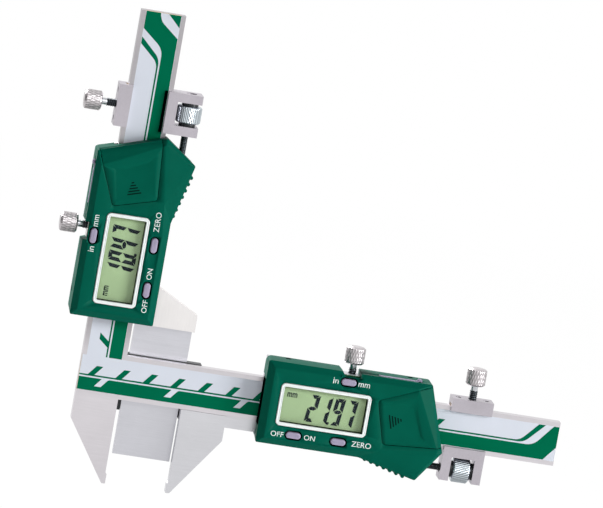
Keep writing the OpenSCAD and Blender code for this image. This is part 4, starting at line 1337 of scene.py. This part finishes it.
@dataclass
class Bench:
    """The finishes of the CAD nodes that keep their own shape."""

    plain: dict[str, str] = field(default_factory=lambda: {
        "main_frame": "frame_steel", "thickness_scale_strip": "brass", "height_scale_strip": "brass",
        "thickness_label": "label_white", "height_label": "label_white", "blade_guide": "black_steel",
        "guide_screws": "screw_steel", "height_blade": "blade_steel", "blade_screws": "nickel"})
    per_unit: dict[str, str] = field(default_factory=lambda: {
        "gib": "bronze", "gib_screws": "black_steel", "case_screws": "screw_steel", "circuit_board": "board",
        "lcd_panel": "lcd", "display_window": "clear", "battery": "nickel", "battery_contacts": "brass",
        "clamp_block": "clamp_steel", "clamp_gib": "bronze", "clamp_set_screws": "black_steel"})

    def dress(self, palette: Palette) -> None:
        """Gives each kept node its material.

        Args:
            palette: the finishes.
        """
        wanted = dict(self.plain)
        for beam in Beam:
            wanted.update({f"{beam.value}_{key}": finish for key, finish in self.per_unit.items()})
        for node, finish in wanted.items():
            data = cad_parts[node].data
            data.materials.clear()
            data.materials.append(palette[finish])
            LOG.info("%s is finished as %s", node, finish)


@dataclass
class Studio:
    """Camera, floor, lights and world."""

    camera_at: tuple[float, float, float] = (-0.29, -2.5, 0.48505)
    camera_turn: tuple[float, float, float] = (1.41427, -0.17403, -0.11009)
    lens: float = 426.638
    floor_z: float = -0.06
    floor_half: float = 3.0
    world_light: float = 0.05
    target: tuple[float, float, float] = (0.06, 0.0, 0.085)
    lamps: tuple[tuple[str, tuple[float, float, float], float, float], ...] = (
        ("key", (1.75, -1.1, 0.52), 0.85, 37.0),
        ("fill", (0.2, -1.25, 0.8), 0.6, 4.2),
        ("back", (-0.6, 0.8, 0.8), 0.6, 24.0))

    def camera(self) -> None:
        """A long lens at the photograph's angle."""
        data = bpy.data.cameras.new("camera")
        data.lens, data.sensor_width, data.clip_start = self.lens, 36.0, 0.01
        data.dof.use_dof = False
        made = bpy.data.objects.new("camera", data)
        made.location, made.rotation_euler = self.camera_at, self.camera_turn
        bpy.context.scene.collection.objects.link(made)
        bpy.context.scene.camera = made

    def lamp(self, name: str, at: Sequence[float], size: float, power: float) -> None:
        """A square soft light that faces the object.

        Args:
            name: the lamp's name.
            at: where it stands, in metres.
            size: length of its side in metres.
            power: its power in watts.
        """
        data = bpy.data.lights.new(name, "AREA")
        data.energy, data.size = power, size
        made = bpy.data.objects.new(name, data)
        made.location = at
        aim = np.array(self.target) - np.asarray(at)
        made.rotation_mode = "QUATERNION"
        made.rotation_quaternion = Vector(aim).to_track_quat("-Z", "Y")
        bpy.context.scene.collection.objects.link(made)

    @staticmethod
    def white_seen(nodes: NodeTree, lit: bpy.types.NodeSocket, out: bpy.types.NodeSocket,
                   share: float | bpy.types.NodeSocket, dim: bpy.types.NodeSocket) -> None:
        """Shows plain white to camera, glossy and transmitted rays, by share, and the lit shader to the rest.

        Reflections are darker by dim, as with a dark card beside the camera's left. On the floor, dim also paints
        shade into reflections near the object.

        Args:
            nodes: the tree of the world or of the floor's material.
            lit: the shader that the other rays meet.
            out: the output's surface socket.
            share: how much of the white replaces the lit shader.
            dim: what reflections lose.
        """
        path = nodes.add("ShaderNodeLightPath").outputs
        seen = nodes.math("MAXIMUM", path["Is Camera Ray"], path["Is Glossy Ray"])
        seen = nodes.math("MAXIMUM", seen, path["Is Transmission Ray"])
        darker = nodes.math("MULTIPLY", dim, path["Is Glossy Ray"])
        kind = "ShaderNodeBackground" if out.node.type == "OUTPUT_WORLD" else "ShaderNodeEmission"
        glow = nodes.add(kind, Color=(1, 1, 1, 1), Strength=nodes.math("SUBTRACT", 1.0, darker))
        mix = nodes.add("ShaderNodeMixShader", i0=nodes.math("MULTIPLY", seen, share), i1=lit, i2=glow.outputs[0])
        nodes.tree.links.new(mix.outputs[0], out)

    def world(self) -> None:
        """A pale world that lights softly and is seen as white."""
        world = bpy.data.worlds.new("world")
        bpy.context.scene.world = world
        world.use_nodes = True
        nodes = NodeTree(world.node_tree)
        back, out = nodes.first("BACKGROUND"), nodes.first("OUTPUT_WORLD")
        back.inputs[0].default_value, back.inputs[1].default_value = (1, 1, 1, 1), self.world_light
        where = nodes.add("ShaderNodeTexCoord").outputs["Object"]
        left = nodes.ramp(nodes.add("ShaderNodeSeparateXYZ", i0=where).outputs[0], -0.35, -0.85, 0.0, 0.8)
        self.white_seen(nodes, back.outputs[0], out.inputs[0], 1.0, left)

    def floor(self) -> None:
        """A plain pale floor that keeps the object's shadow and fades into the white world further off."""
        half, z = self.floor_half, self.floor_z
        data = bpy.data.meshes.new("floor")
        data.from_pydata([(-half, -half, z), (half, -half, z), (half, half, z), (-half, half, z)], [], [(0, 1, 2, 3)])
        made = bpy.data.objects.new("floor", data)
        bpy.context.scene.collection.objects.link(made)
        sheet = NodeSheet("floor")
        sheet.set(Base_Color=(0.85, 0.85, 0.85, 1), Roughness=0.9)
        where = sheet.place()
        reach = sheet.add("ShaderNodeVectorMath", {"operation": "LENGTH"}, Vector=where).outputs["Value"]
        left = sheet.ramp(sheet.add("ShaderNodeSeparateXYZ", i0=where).outputs[0], -0.45, -1.0, 0.0, 0.8)
        # Painted shade: the floor's reflections are darker near the object.
        near = sheet.ramp(reach, 0.1, 0.3, 0.4, 0.0)
        self.white_seen(sheet, sheet.shader.outputs[0], sheet.first("OUTPUT_MATERIAL").inputs[0],
                        sheet.ramp(reach, 0.25, 1.2, 0.93, 1.0), sheet.math("MAXIMUM", left, near))
        data.materials.append(sheet.material)

    def build(self) -> None:
        """Sets up everything that isn't the object."""
        self.camera()
        self.floor()
        self.world()
        for lamp in self.lamps:
            self.lamp(*lamp)
        bpy.context.scene.view_settings.view_transform = "Standard"


def main() -> None:
    """Builds the scene in order and reports each piece."""
    logging.basicConfig(level=logging.INFO, format="%(message)s")
    palette = Palette()
    shop = Workshop(palette)
    Studio().build()
    Bench().dress(palette)
    level_marks = np.append(-12.87 + 10.0 * np.arange(12), 112.2)
    ScaleLabel(Beam.THICKNESS, -15.9, 158.9, 162.2, level_marks, -7.53 + 25.4 * np.arange(5)).build(shop)
    ScaleLabel(Beam.HEIGHT, 45.45, 170.9, 169.9, 48.9 + 10.0 * np.arange(7), 66.0 + 25.4 * np.arange(3)).build(shop)
    thickness = Unit(Beam.THICKNESS, 50.0, "21.97", slot_low=-12.6)
    height = Unit(Beam.HEIGHT, 60.2, "10.47", slot_side=14.2)
    for unit in (thickness, height):
        unit.build(shop)
    PlateCut(thickness, "thickness_jaw_slider", "jaw_steel").build(shop)
    PlateCut(height, "height_arm_slider", "arm_steel").build(shop)


if __name__ == "__main__":
    main()
